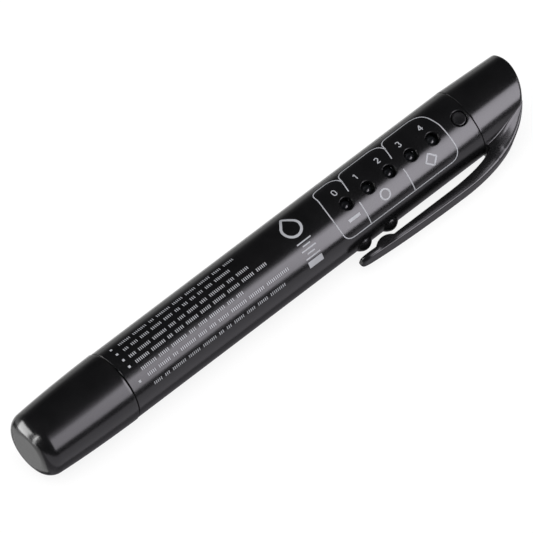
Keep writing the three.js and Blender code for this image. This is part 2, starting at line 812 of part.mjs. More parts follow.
// The back of the end cap in side view, from the crown of the clip round to the top
function backLine() {
  return new THREE.CubicBezierCurve(
    new THREE.Vector2(clipCrownX, clipCrownReach),
    new THREE.Vector2(clipCrownX + backHandle, clipCrownReach),
    new THREE.Vector2(endTopX, topHandle - topHandleDrop),
    new THREE.Vector2(endTopX, -topHandleDrop),
  ).getPoints(backSteps);
}

// The outside of the clip from its crown down to its tip
function tipLine() {
  return new THREE.QuadraticBezierCurve(
    new THREE.Vector2(clipCrownX, clipCrownReach),
    new THREE.Vector2(clipCrownX - clipCrownHandle, clipCrownReach),
    new THREE.Vector2(clipTipX, clipTipReach),
  ).getPoints(backSteps);
}

// The inside of the clip from the end cap's mouth out to its flat stretch
function crotchLine() {
  return new THREE.QuadraticBezierCurve(
    new THREE.Vector2(endMouthX, crotchReach),
    new THREE.Vector2(endMouthX - crotchHandle, clipInnerReach),
    new THREE.Vector2(crotchStartX, clipInnerReach),
  ).getPoints(backSteps);
}

// Half width of the clip in plan: a narrow blade that flares to the width of the end cap
function flareLine() {
  const narrow = clipWidth / 2;
  const rise = flareHalfWidth - narrow;
  const handleAt = (i) => new THREE.Vector2(
    flareStartX + flareRunShares[i] * flareLength, narrow + flareRiseShares[i] * rise,
  );
  return new THREE.CubicBezierCurve(
    new THREE.Vector2(flareStartX, narrow),
    handleAt(0),
    handleAt(1),
    new THREE.Vector2(flareStartX + flareLength, flareHalfWidth),
  ).getPoints(backSteps);
}

// Distance from the axis to the outside of the clip at x
function outerReach(x) {
  return heightOn(x < clipCrownX ? tipLine() : backLine(), x);
}

// Distance from the axis to the inside of the clip at x, less the ridge between the grip domes
function innerReach(x) {
  if (x > endMouthX) return rootDepthReach;
  const off = x - ridgeX;
  const half = ridgeChord / 2;
  const radius = (half * half + ridgeHeight * ridgeHeight) / (2 * ridgeHeight);
  const ridge = Math.abs(off) < half ? Math.sqrt(radius * radius - off * off) - (radius - ridgeHeight) : 0;
  return (x > crotchStartX ? heightOn(crotchLine(), x) : clipInnerReach) - ridge;
}

function clipHalfWidth(x) {
  if (x > flareStartX) return heightOn(flareLine(), x);
  const taper = Math.max(0, 1 - (x - clipTipX) / clipTaperLength);
  return clipWidth / 2 - ((clipWidth - clipTipWidth) / 2) * taper;
}

// One chamfered section of the clip; tipInset and tipThin draw it in at the rounded tip
function clipSection(x, tipInset = 0, tipThin = 0) {
  const half = clipHalfWidth(x) - tipInset;
  const top = outerReach(x) - tipThin;
  const bottom = innerReach(x) + tipThin;
  const edge = Math.min(clipChamfer, (top - bottom) / 3);
  return [
    [x, half, bottom + edge], [x, half, top - edge], [x, half - edge, top], [x, edge - half, top],
    [x, -half, top - edge], [x, -half, bottom + edge], [x, edge - half, bottom], [x, half - edge, bottom],
  ];
}

// Clip: chamfered sections carried along the pen, with the grip ridge under the blade
function clipRings() {
  const rings = [];
  for (let i = 0; i <= tipSteps; i += 1) {
    const turn = (i / tipSteps) * (Math.PI / 2);
    const inward = 1 - Math.sin(turn);
    const x = clipTipX + clipTipCorner * (1 - Math.cos(turn));
    rings.push(clipSection(x, clipTipCorner * inward, clipTipRound * inward));
  }
  const ridgeHalf = ridgeChord / 2;
  for (let i = 0; i <= ridgeSteps; i += 1) {
    rings.push(clipSection(ridgeX + ridgeHalf * ((2 * i) / ridgeSteps - 1)));
  }
  for (let i = 1; i <= bladeSteps; i += 1) {
    rings.push(clipSection(ridgeX + ridgeHalf + ((crotchStartX - ridgeX - ridgeHalf) * i) / bladeSteps));
  }
  for (let i = 1; i <= crotchSteps; i += 1) {
    rings.push(clipSection(crotchStartX + (crotchCurveLength * i) / crotchSteps));
  }
  rings.push(clipSection(endMouthX + crotchRound));
  const rootEndX = flareStartX + flareLength;
  for (const point of backLine()) {
    if (point.x > endMouthX + 2 * crotchRound && point.x < rootEndX) rings.push(clipSection(point.x));
  }
  return rings;
}

// End cap: a turned cup cut by the back line, joined to the clip, cored out, with two tongues
function makeEndCap() {
  const topCorner = arcPoints(endTopX - endTopRound, endTopRadius - endTopRound, endTopRound, 90, 0, 4);
  const cup = solidOf(turned([
    [endMouthX, 0],
    [endMouthX, barrelRadius - barrelEdgeBevel],
    [endMouthX + barrelEdgeBevel, barrelRadius],
    ...topCorner,
    [endTopX, 0],
  ]));
  const below = -barrelRadius - cutOverrun;
  const side = new THREE.Shape();
  side.moveTo(clipCrownX, below);
  for (const point of backLine()) side.lineTo(point.x, point.y);
  side.lineTo(endTopX, below);
  side.closePath();
  const backStock = slabAcross(side, 2 * (barrelRadius + cutOverrun));
  const coreStock = backStock.clone().translate(-endWall, 0, -endWall);
  const onClipSide = (geometry) => solidOf(geometry.clone().rotateX(clipTurn * degree));

  const core = solidOf(turned([
    [endMouthX - cutOverrun, 0],
    [endMouthX - cutOverrun, barrelRadius - corePocketWall],
    [endTopX - corePocketFloor, barrelRadius - corePocketWall],
    [endTopX - corePocketFloor, 0],
  ])).intersect(onClipSide(coreStock));
  const pocketRadius = barrelRadius - endWall;
  const pocket = solidOf(turned([
    [endMouthX - cutOverrun, 0],
    [endMouthX - cutOverrun, pocketRadius],
    [shelfX, pocketRadius],
    [shelfX, 0],
  ]));
  const shell = cup.intersect(onClipSide(backStock)).add(onClipSide(loft(clipRings())));
  return geometryOf(shell.subtract(pocket).subtract(core).add(makeTongues()));
}

// Two curved tongues that slide into the barrel on each side of the battery
function makeTongues() {
  const outer = barrelBoreRadius - seatGap;
  const inner = outer - tongueWall;
  const frontX = barrelTailX - tongueReach;
  const rootX = endMouthX + tongueRoot;
  const inWall = barrelRadius - endWall / 2;
  const ring = solidOf(turned([
    [frontX, inner], [frontX, outer], [endMouthX, outer], [endMouthX, inWall],
    [rootX, inWall], [rootX, inner], [frontX, inner],
  ]));
  const level = solidOf(block(
    [frontX - cutOverrun, -barrelRadius, -tongueBottom], [rootX + cutOverrun, barrelRadius, tongueTop],
  ));
  return ring.intersect(level);
}

// How far the pen turns about its axis when it rests on its body and on the clip's lower edge
function restTurn() {
  let drop = Math.PI / 2;
  for (const ring of clipRings()) {
    for (const [, half, reach] of ring) {
      const distance = Math.hypot(reach, half);
      if (half > 0 && distance > capMouthRadius) {
        drop = Math.min(drop, Math.asin(capMouthRadius / distance) - Math.atan2(half, reach));
      }
    }
  }
  return Math.PI / 2 + drop - clipTurn * degree;
}

const pen = new THREE.Group();
pen.add(
  piece('protective_cap', makeCap(), blackPlastic()),
  piece('barrel', makeBarrel(), blackPlastic()),
  piece('end_cap', makeEndCap(), blackPlastic()),
  piece('probe_holder', makeProbeHolder(), greyPlastic()),
  piece('circuit_board', makeBoard(), finish(0x1f5a36, 0.45)),
  piece('controller_chip', makeChip(), finish(0x18181a, 0.5)),
  piece('buffer_capacitor', makeCapacitor(), finish(0xa98458, 0.5)),
  piece('switch_body', makeSwitchBody(), finish(0x2a2b2e, 0.5)),
  piece('switch_plunger', makePlunger(), finish(0xd9d7cf, 0.45)),
  piece('power_button', makeButton(), finish(0x141415, 0.42)),
  piece('battery_cell', makeBattery(), finish(0x3f5f86, 0.35, 0.4)),
  piece('positive_contact', makePositiveContact(), nickel()),
  piece('negative_contact', makeNegativeContact(), nickel()),
  piece('contact_spring', makeSpring(), nickel()),
);
for (const [side, word] of [[-1, 'left'], [1, 'right']]) {
  pen.add(piece(`probe_${word}`, makeProbe(side), nickel()));
  pen.add(piece(`probe_wire_${word}`, makeWire(side), finish(side < 0 ? 0x1d1d1f : 0x9c2a26, 0.55)));
}
for (let i = 0; i < ledCount; i += 1) {
  pen.add(piece(`led_${i + 1}`, makeLed(i), finish(0x3a3c40, 0.2)));
  pen.add(piece(`led_resistor_${i + 1}`, makeResistor(i), finish(0x222225, 0.5)));
}

// Laid down: the origin is on the surface under the middle of the pen's box
pen.rotation.x = restTurn();
const laid = new THREE.Group();
laid.add(pen);
laid.updateMatrixWorld(true);
const box = new THREE.Box3().setFromObject(laid, true);
const middle = box.getCenter(new THREE.Vector3());
pen.position.set(-middle.x, -middle.y, -box.min.z);

export default laid;
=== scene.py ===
# Brake fluid tester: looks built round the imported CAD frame.
# A barrel with a pull-off cap over two probes, five lamps, a button and an end cap with a clip.
import json
import math
from math import pi
import bpy
import bmesh
import numpy as np
from numpy import arange, array, cos, linspace, maximum, minimum, radians, sin
from mathutils import Matrix, Vector


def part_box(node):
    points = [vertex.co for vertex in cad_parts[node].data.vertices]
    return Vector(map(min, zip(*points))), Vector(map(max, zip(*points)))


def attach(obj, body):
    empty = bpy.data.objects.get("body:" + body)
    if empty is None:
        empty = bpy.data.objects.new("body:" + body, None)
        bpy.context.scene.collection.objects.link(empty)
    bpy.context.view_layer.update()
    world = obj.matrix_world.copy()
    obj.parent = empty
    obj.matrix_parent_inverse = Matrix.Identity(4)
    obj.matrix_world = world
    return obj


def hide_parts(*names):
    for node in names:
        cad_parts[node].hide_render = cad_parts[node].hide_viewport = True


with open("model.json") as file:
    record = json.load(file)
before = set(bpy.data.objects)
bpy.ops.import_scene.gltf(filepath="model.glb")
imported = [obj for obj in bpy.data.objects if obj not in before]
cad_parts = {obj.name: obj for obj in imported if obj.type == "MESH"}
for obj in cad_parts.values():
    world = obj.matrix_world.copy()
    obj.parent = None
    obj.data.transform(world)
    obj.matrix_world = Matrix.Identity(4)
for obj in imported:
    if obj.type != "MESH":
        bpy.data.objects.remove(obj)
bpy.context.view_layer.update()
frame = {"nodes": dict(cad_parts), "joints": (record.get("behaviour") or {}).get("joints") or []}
nodes = frame["nodes"]
mm = 0.001
join = np.concatenate
print("frame loaded:", len(nodes), "nodes")

# The pen's own frame, in mm: x runs from the cap's closed end, z looks along the lamps,
# and phi is the angle round the pen from the lamps towards the clip.
pressAxis = next(j["axis"] for j in frame["joints"] if j["name"] == "button_press")
penTurn = math.atan2(pressAxis[1], -pressAxis[2])
capLow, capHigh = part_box("protective_cap")
penStart = (capLow.x, (capLow.y + capHigh.y) / 2, (capLow.z + capHigh.z) / 2)

pen = dict(
    capLength=26.2, bead=22.5, barrelFront=26.5, barrelTail=133.45, barrelRadius=9.03,
    boreRadius=7.72, endMouth=133.6, endTop=150.44, clipTurn=radians(86), lampFirst=96.01,
    lampPitch=6.66, button=131.0, batteryZ=-2.17, boardFront=89.25, boardTail=133.15, boardTop=4.4,
    solder=4.7)
lampPlaces = pen["lampFirst"] + pen["lampPitch"] * arange(5)
perDegree = radians(1) * pen["barrelRadius"]  # mm round the barrel


def pick(values, names):
    # several values of a dictionary by their names
    return [values[name] for name in names.split()]


def pack(*parts):
    # coordinates side by side
    return np.stack(np.broadcast_arrays(*parts), -1)


def toScene(points):
    # turn the pen's (x, y, z) in mm about its axis and move it to the frame, in metres
    p = np.asarray(points, float) * mm
    c, s = math.cos(penTurn), math.sin(penTurn)
    y = p[..., 1] * c - p[..., 2] * s + penStart[1]
    z = p[..., 1] * s + p[..., 2] * c + penStart[2]
    return pack(p[..., 0] + penStart[0], y, z)


def aroundPen(x, radius, phi):
    # a point at x along the pen, radius from the axis, phi round from the lamps
    return pack(x, -radius * sin(phi), radius * cos(phi))


def onSide(x, w, height, turn):
    # a point at height along the direction turn round the pen, w across it
    return pack(x, -height * sin(turn) - w * cos(turn), height * cos(turn) - w * sin(turn))


def skin(points, wrapRows=False, skip=None, ends=False):
    # rows of points with one quad between each point and its neighbours in the next row and
    # column, and a flat face over each end where asked
    points = np.asarray(points)
    rows, cols = points.shape[:2]
    r, c = np.meshgrid(arange(rows if wrapRows else rows - 1), arange(cols), indexing="ij")
    if skip is not None:
        keep = ~skip[r, c]
        r, c = r[keep], c[keep]
    down, right = (r + 1) % rows, (c + 1) % cols
    quads = pack(r * cols + c, r * cols + right, down * cols + right, down * cols + c)
    faces = quads.reshape(-1, 4).tolist()
    if ends:
        faces += [list(range(cols)), list(range((rows - 1) * cols, rows * cols))]
    return points.reshape(-1, 3), faces


def makePiece(name, skins, material, replaced=(), body="barrel_body", sharp=32):
    # several skins as one mesh
    vertices, faces, first = [], [], 0
    for points, quads in skins:
        vertices.append(toScene(points))
        faces += [[i + first for i in face] for face in quads]
        first += len(points)
    mesh = bpy.data.meshes.new(name)
    mesh.from_pydata(join(vertices).tolist(), [], faces)
    finishPiece(name, mesh, body, material, replaced, sharp)


def finishPiece(name, mesh, body, material, replaced, sharp):
    # doubles merged, normals out, smooth up to the sharp angle
    work = bmesh.new()
    work.from_mesh(mesh)
    bmesh.ops.remove_doubles(work, verts=work.verts, dist=6e-7)
    bmesh.ops.dissolve_degenerate(work, edges=work.edges, dist=2e-7)
    bmesh.ops.recalc_face_normals(work, faces=work.faces)
    work.to_mesh(mesh)
    work.free()
    mesh.shade_smooth()
    mesh.set_sharp_from_angle(angle=radians(sharp))
    mesh.materials.append(material)
    piece = bpy.data.objects.new(name, mesh)
    bpy.context.scene.collection.objects.link(piece)
    piece.modifiers.new("evenShading", "WEIGHTED_NORMAL").keep_sharp = True
    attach(piece, body)
    if replaced:
        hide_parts(*replaced)


def refined(name, node, material, body="barrel_body"):
    # the CAD solid's own faces in a new mesh
    mesh = nodes[node].data.copy()
    mesh.name = name
    mesh.materials.clear()
    finishPiece(name, mesh, body, material, [node], 30)


def fullTurn(sides):
    return linspace(0, 2 * pi, sides, endpoint=False)


def corner(cx, cy, radius, fromDegrees, toDegrees, steps):
    # points along an arc about (cx, cy)
    a = radians(linspace(fromDegrees, toDegrees, steps + 1))
    return pack(cx + radius * cos(a), cy + radius * sin(a))


def joined(parts):
    # single points and lists of points as one list
    return join([np.atleast_2d(p) for p in parts])


def turned(parts, sides, closed=False, axisY=0.0, axisZ=0.0):
    # a profile of (x, radius) points carried round the pen's axis, or one parallel to it
    profile = joined(parts)
    points = aroundPen(profile[:, :1], profile[:, 1:], fullTurn(sides))
    return skin(points + [0, axisY, axisZ], wrapRows=closed)


def upright(parts, x, y=0.0, sides=64):
    # a profile of (radius, z) points carried round an upright line through (x, y)
    profile = joined(parts)
    a = fullTurn(sides)
    radius, z = profile[:, :1], profile[:, 1:]
    return skin(pack(x + radius * cos(a), y + radius * sin(a), z))


def block(low, high, radius, bevel):
    # a box with round upright corners: its outline is drawn in by bevel (1 - cos a) at
    # bevel (1 - sin a) from its bottom and its top
    low, high = array(low, float), array(high, float)
    middle, half = (low + high) / 2, (high - low) / 2
    a = radians(linspace(0, 90, 4))
    insets, steps = bevel * (1 - cos(a)), bevel * (1 - sin(a))
    levels = np.append(low[2] + steps[::-1], high[2] - steps)
    rows = []
    for inset, z in zip(np.append(insets[::-1], insets), levels):
        r = max(radius - inset, 0.02)
        dx, dy = half[0] - inset - r, half[1] - inset - r
        ring = join([corner(middle[0] + sx * dx, middle[1] + sy * dy, r, start, start + 90, 4)
                     for sx, sy, start in ((1, 1, 0), (-1, 1, 90), (-1, -1, 180), (1, -1, 270))])
        rows.append(pack(*ring.T, z))
    return skin(rows, ends=True)


def tube(path, radius, across, sides):
    # a round section along the path: its two directions are the tangent crossed with a
    # direction that the path never takes, and crossed again
    path = np.asarray(path, float)
    tangent = unit(np.gradient(path, axis=0))
    side = unit(np.cross(tangent, across))
    up = np.cross(side, tangent)
    a = fullTurn(sides)[None, :, None]
    points = path[:, None] + radius * (cos(a) * side[:, None] + sin(a) * up[:, None])
    return skin(points, ends=True)


def through(points, count):
    # Catmull-Rom curve: a cubic between each two points, its tangents half their neighbours' gap
    p = np.asarray(points, float)
    p = join([[2 * p[0] - p[1]], p, [2 * p[-1] - p[-2]]])
    t = linspace(0, 1, count, endpoint=False)[:, None]
    spans = [0.5 * (2 * b + (c - a) * t + (2 * a - 5 * b + 4 * c - d) * t**2
                    + (3 * b - a - 3 * c + d) * t**3)
             for a, b, c, d in zip(p, p[1:], p[2:], p[3:])]
    return join(spans + [p[-2:-1]])


def bezier(points, count):
    # Bezier curve of any degree: the handles weighted by the Bernstein shares of t
    points = np.asarray(points, float)
    degree = len(points) - 1
    t = linspace(0, 1, count)[:, None]
    shares = [math.comb(degree, k) * t**k * (1 - t) ** (degree - k) for k in range(degree + 1)]
    return sum(s * p for s, p in zip(shares, points))


def bend(a, b, c, t):
    # quadratic Bezier: (1 - t)^2 a + 2 t (1 - t) b + t^2 c
    return (1 - t) ** 2 * a + 2 * t * (1 - t) * b + t**2 * c


def between(x, pairs):
    # values given as (x, value), with straight lines between them
    return np.interp(x, *np.transpose(pairs))


def stepped(start, *stops):
    # values from stop to stop, each stop given as (value, even steps to it)
    values = [[start]]
    for stop, count in stops:
        values.append(linspace(values[-1][-1], stop, count + 1)[1:])
    return join(values)


def circleAt(radius, w, least=0):
    # height of a circle at w from its middle: sqrt(R^2 - w^2)
    return np.sqrt(maximum(radius**2 - w**2, least))


def higher(a, b, ease):
    # the higher of two surfaces, eased where they meet
    share = np.clip(0.5 + (b - a) / (2 * ease), 0, 1)
    return a * (1 - share) + b * share + ease * share * (1 - share)


def unit(v):
    return v / np.linalg.norm(v, axis=-1, keepdims=True)


def aside(run, width):
    # half the width square to each step of a flat path
    return unit(run)[:, ::-1] * [-1, 1] * width / 2


# materials

def toLinear(hexColour):
    # sRGB hex to linear
    srgb = [int(hexColour[i:i + 2], 16) / 255 for i in (1, 3, 5)]
    return [c / 12.92 if c <= 0.04045 else ((c + 0.055) / 1.055) ** 2.4 for c in srgb] + [1]


def addNode(tree, kind, links=(), **settings):
    # a node with its sockets' values, its own settings, and links as (input, output socket)
    node = tree.nodes.new("ShaderNode" + kind)
    for key, value in settings.items():
        if key in node.inputs:
            node.inputs[key].default_value = value
        else:
            setattr(node, key, value)
    for socket, source in links:
        tree.links.new(source, node.inputs[socket])
    return node


def newMaterial(name, colour, roughness, **shader):
    material = bpy.data.materials.new(name)
    material.use_nodes = True
    tree = material.node_tree
    inputs = tree.nodes["Principled BSDF"].inputs
    inputs["Base Color"].default_value = toLinear(colour)
    inputs["Roughness"].default_value = roughness
    for key, value in shader.items():
        inputs[key].default_value = value
    return material, tree, inputs, addNode(tree, "TexCoord").outputs["Object"]


def paint(tree, inputs, colour, relief, height):
    # a colour node, and a bump of the height in mm from a relief node, joined to the shader
    bump = addNode(tree, "Bump", [("Height", relief.outputs["Fac"])],
                   Strength=1.0, Distance=height * mm)
    tree.links.new(colour.outputs["Color"], inputs["Base Color"])
    tree.links.new(bump.outputs["Normal"], inputs["Normal"])


def finish(name, colours, roughness, spread, grain, height, **shader):
    # two near tones and a drift of roughness in soft patches, over a fine raised grain; grain
    # and height in mm
    material, tree, inputs, place = newMaterial(name, colours[0], roughness, **shader)
    fine, broad = (addNode(tree, "TexNoise", [("Vector", place)],
                           Scale=scale / grain, Detail=detail)
                   for scale, detail in ((1000, 2.0), (60, 3.0)))
    tone = addNode(tree, "ValToRGB", [("Fac", broad.outputs["Fac"])])
    for element, colour, at in zip(tone.color_ramp.elements, colours, (0.35, 0.65)):
        element.color, element.position = toLinear(colour), at
    rough = addNode(tree, "MapRange", [("Value", broad.outputs["Fac"])],
                    **{"To Min": roughness - spread, "To Max": roughness + spread})
    tree.links.new(rough.outputs["Result"], inputs["Roughness"])
    paint(tree, inputs, tone, fine, height)
    return material


# injection-moulded ABS: near black, polished, softened by a fine spark-eroded grain
shellPlastic = finish(
    "mouldedAbsBlack", ("#0c0c0d", "#0f0f10"), 0.2, 0.025, 0.35, 0.0012, IOR=1.53)
# the button's ABS, from a duller mould
buttonPlastic = finish("satinAbsBlack", ("#0d0d0e", "#111112"), 0.27, 0.03, 0.25, 0.002, IOR=1.53)
# glass-filled polyamide: grey, dull and waxy
holderPlastic = finish(
    "glassFilledPolyamide", ("#2a2b2e", "#323337"), 0.45, 0.05, 0.3, 0.003, IOR=1.54)
# pad-printed ink: flat light grey, thin enough to keep some of the shell's grain
inkGrey = finish("padPrintInkGrey", ("#808185", "#8c8d92"), 0.5, 0.05, 0.3, 0.001)
# smoked cast epoxy: dark and glassy
lampEpoxy = finish("smokedLampEpoxy", ("#0d0e10", "#141517"), 0.12, 0.02, 0.8, 0.0005, IOR=1.55)
# electroplated nickel: warm grey, faintly brushed by polishing
nickelPlate = finish(
    "polishedNickelPlate", ("#b5b0a6", "#c6c2b9"), 0.2, 0.06, 0.2, 0.0008, Metallic=1.0)
# tin-plated steel of the cell's ends: cooler and duller
cellSteel = finish("tinnedSteel", ("#9a9b9c", "#b0b1b2"), 0.32, 0.07, 0.3, 0.001, Metallic=1.0)
# reflowed tin solder: bright, a little wavy where it froze
solderTin = finish("reflowedSolder", ("#a7a9aa", "#c0c2c2"), 0.25, 0.08, 0.25, 0.004, Metallic=1.0)
# soft PVC wire coverings: slightly greasy
wireBlack = finish("softPvcBlack", ("#161617", "#1e1e20"), 0.42, 0.06, 0.4, 0.002, IOR=1.53)
wireRed = finish("softPvcRed", ("#86231d", "#962c25"), 0.42, 0.06, 0.4, 0.002, IOR=1.53)
# the chip's moulded epoxy: charcoal, matte, granular
chipEpoxy = finish("mouldedEpoxyCharcoal", ("#1b1b1c", "#242425"), 0.6, 0.06, 0.12, 0.004)
# thick-film resistor: glassy black glaze on alumina
resistorGlaze = finish("glazedAlumina", ("#131315", "#1c1c1f"), 0.22, 0.04, 0.2, 0.001)
# ceramic capacitor: fired biscuit brown, finely sandy
capacitorCeramic = finish("firedCeramicTan", ("#8a6b4c", "#99795a"), 0.5, 0.05, 0.12, 0.003)
# liquid-crystal polymer of the switch: black and dull
switchPolymer = finish("liquidCrystalPolymer", ("#171718", "#202021"), 0.48, 0.06, 0.3, 0.002)
# acetal plunger: milky off-white
plungerAcetal = finish("mouldedAcetal", ("#cfccc3", "#d9d6ce"), 0.35, 0.05, 0.25, 0.001, IOR=1.48)


def sleevePrint():
    # the cell's shrunk PVC sleeve, banded along the cell: dark ends, silver rings, a blue body
    blue, silver, dark = "#2f5577", "#b9bcbf", toLinear("#1a1b1d")
    material, tree, inputs, place = newMaterial("shrunkPvcSleeve", blue, 0.3, IOR=1.54)
    along = addNode(tree, "SeparateXYZ", [("Vector", place)])
    front, tail = (penStart[0] + x * mm for x in pick(battery, "front tail"))
    share = addNode(tree, "MapRange", [("Value", along.outputs["X"])],
                    **{"From Min": front, "From Max": tail})
    bands = addNode(tree, "ValToRGB", [("Fac", share.outputs["Result"])])
    ramp = bands.color_ramp
    ramp.interpolation = "CONSTANT"
    for at, colour in ((0.26, silver), (0.28, blue), (0.95, silver)):
        ramp.elements.new(at).color = toLinear(colour)
    ramp.elements[0].color = ramp.elements[-1].color = dark
    ramp.elements[-1].position = 0.965
    wrinkle = addNode(tree, "TexNoise", [("Vector", place)], Scale=400.0, Detail=2.0)
    paint(tree, inputs, bands, wrinkle, 0.004)
    return material


def boardMask():
    # black solder mask over copper: traces 0.3 mm wide show as lighter, slightly raised lines
    material, tree, inputs, place = newMaterial("solderMaskBlack", "#0e100f", 0.38, IOR=1.5)
    flat = addNode(tree, "Mapping", [("Vector", place)], Rotation=(-penTurn, 0, 0))
    traces = addNode(tree, "TexBrick", [("Vector", flat.outputs["Vector"])], **{
        "Scale": 1.0, "Brick Width": 6.66 * mm, "Row Height": 1.1 * mm, "Mortar Size": 0.15 * mm,
        "Mortar Smooth": 0.3, "Color1": toLinear("#0e100f"), "Color2": toLinear("#101211"),
        "Mortar": toLinear("#1b211d")})
    paint(tree, inputs, traces, traces, 0.02)
    return material


print("materials made")

# protective cap; the groove as (x, radius) steps from the bead and the bore
cap = dict(
    mouth=9.19, middle=9.07, end=8.38, corner=3.8, wallEnd=2.0, bore=8.1, mouthRound=0.15,
    straightBore=10.0, floorBore=6.7, floorRound=1.2,
    groove=((0.9, 0), (0.35, 0.17), (0, 0.2), (-0.35, 0.17), (-0.9, 0)))


def makeCap():
    # outside: flat end, round corner, swelling taper; inside: groove, straight bore, tapered floor
    length = pen["capLength"]
    mouth, end, endRound, lip, bore, wall, floorBore, floorRound = pick(
        cap, "mouth end corner mouthRound bore wallEnd floorBore floorRound")
    taper = bezier([(endRound, end), (length / 2, cap["middle"]), (length - lip, mouth)], 40)
    return turned([
        [0, 0], [0, 1.5], [0, 3.0], [0, end - endRound - 0.01],
        corner(endRound, end - endRound, endRound, 180, 90, 22), taper[1:-1],
        corner(length - lip, mouth - lip, lip, 90, 0, 4),
        [length, bore + 0.1], [length - 0.1, bore],
        *([pen["bead"] + dx, bore + dr] for dx, dr in cap["groove"]),
        [length - cap["straightBore"], bore],
        corner(wall + floorRound, floorBore - floorRound, floorRound, 90, 180, 8),
        [wall, 2.0], [wall, 0],
    ], 160)


makePiece("cap_shell", [makeCap()], shellPlastic, ["protective_cap"], "cap_body")
print("cap made")

# barrel; the grid of its wall has a cell for each lamp, the button and each dome
barrel = dict(
    edge=0.16, neckRadius=7.8, neckFront=18.3, neckBore=6.4, neckRound=0.4,
    bead=((-0.7, 0), (-0.35, 0.11), (0, 0.15), (0.35, 0.11), (0.7, 0)), lampHole=1.6,
    buttonHole=1.95, holeRound=0.2, cell=2.6, buttonCell=2.33,
    domes=((96.05, 93.41, 98.61), (104.15, 101.37, 106.73)), domeChord=2.3, domeHeight=1.25,
    domeFoot=(0.2, 0.12), domeBall=0.3, domeEase=0.1, domeCell=3.0, stopFront=87.55,
    stopTail=88.95, stopInner=4.5, stopOuter=8.0, stopLevel=2.3, taperTail=3.5, taperFront=2.1,
    railInner=4.9, rails=((2.3, 3.1, 7.5), (4.7, 5.3, 6.5)))


def cellBorder(rowX, colPhi, rows, cols, turn):
    # the loop of grid points round a cell, as x and the angle from the cell's middle
    (i0, i1), (j0, j1) = rows, cols
    i = join([np.full(j1 - j0, i0), arange(i0, i1), np.full(j1 - j0, i1), arange(i1, i0, -1)])
    j = join([arange(j0, j1), np.full(i1 - i0, j1), arange(j1, j0, -1), np.full(i1 - i0, j0)])
    return rowX[i], colPhi[j] - turn


def holePatch(borderX, borderPhi, centre, hole):
    # from the outer border to the hole, over its rounded edge, through the wall and out to the
    # inner border; every ring lies at sqrt(R^2 - w^2) on its cylinder
    outer, inner = pick(pen, "barrelRadius boreRadius")
    edge = barrel["holeRound"]
    borderW = outer * sin(borderPhi)
    angle = np.arctan2(borderW, borderX - centre)
    rings = []
    for share in linspace(0, 1, 6):
        w = borderW * (1 - share) + (hole + edge) * sin(angle) * share
        x = borderX * (1 - share) + (centre + (hole + edge) * cos(angle)) * share
        rings.append((x, w, circleAt(outer, w)))
    for turn in radians([22, 45, 68, 90]):
        radius = hole + edge * (1 - sin(turn))
        w = radius * sin(angle)
        height = circleAt(outer, w) - edge * (1 - cos(turn))
        rings.append((centre + radius * cos(angle), w, height))
    w, x = hole * sin(angle), centre + hole * cos(angle)
    top, low = circleAt(outer, w) - edge, circleAt(inner, w)
    rings += [(x, w, top + (low - top) * share) for share in (0.5, 1)]
    for share in linspace(0, 1, 5)[1:]:
        across = w * (1 - share) + inner * sin(borderPhi) * share
        rings.append((x * (1 - share) + borderX * share, across, circleAt(inner, across)))
    return skin([onSide(*ring, 0) for ring in rings])


def domePatch(borderX, borderPhi, centre):
    # a dome on the cylinder, between a sphere's cap and a parabola: the higher of the two
    # surfaces, eased where they meet
    outer = pen["barrelRadius"]
    chord, rise, widen, share, ease = pick(
        barrel, "domeChord domeHeight domeFoot domeBall domeEase")
    ball = (chord**2 + rise**2) / (2 * rise)
    border = pack(borderX, outer * sin(borderPhi))
    angle = np.arctan2(border[:, 1], borderX - centre)
    foot = chord + widen[0] + widen[1] * sin(angle) ** 2
    circle = pack(centre + foot * cos(angle), foot * sin(angle))
    middle = array([centre, 0.0])
    rings = [border * (1 - s) + circle * s for s in (0, 0.5, 1)]
    rings += [middle + (circle - middle) * s
              for s in (0.96, 0.92, 0.87, 0.8, 0.7, 0.6, 0.48, 0.36, 0.24, 0.12, 0)]
    x, w = np.moveaxis(np.stack(rings), -1, 0)
    away = (x - centre) ** 2 + w**2
    sphere = rise - ball + np.sqrt(maximum(ball**2 - away, 0.01))
    top = outer + share * sphere + (1 - share) * rise * (1 - away / chord**2)
    return skin(onSide(x, w, higher(circleAt(outer, w), top, ease), pen["clipTurn"]))


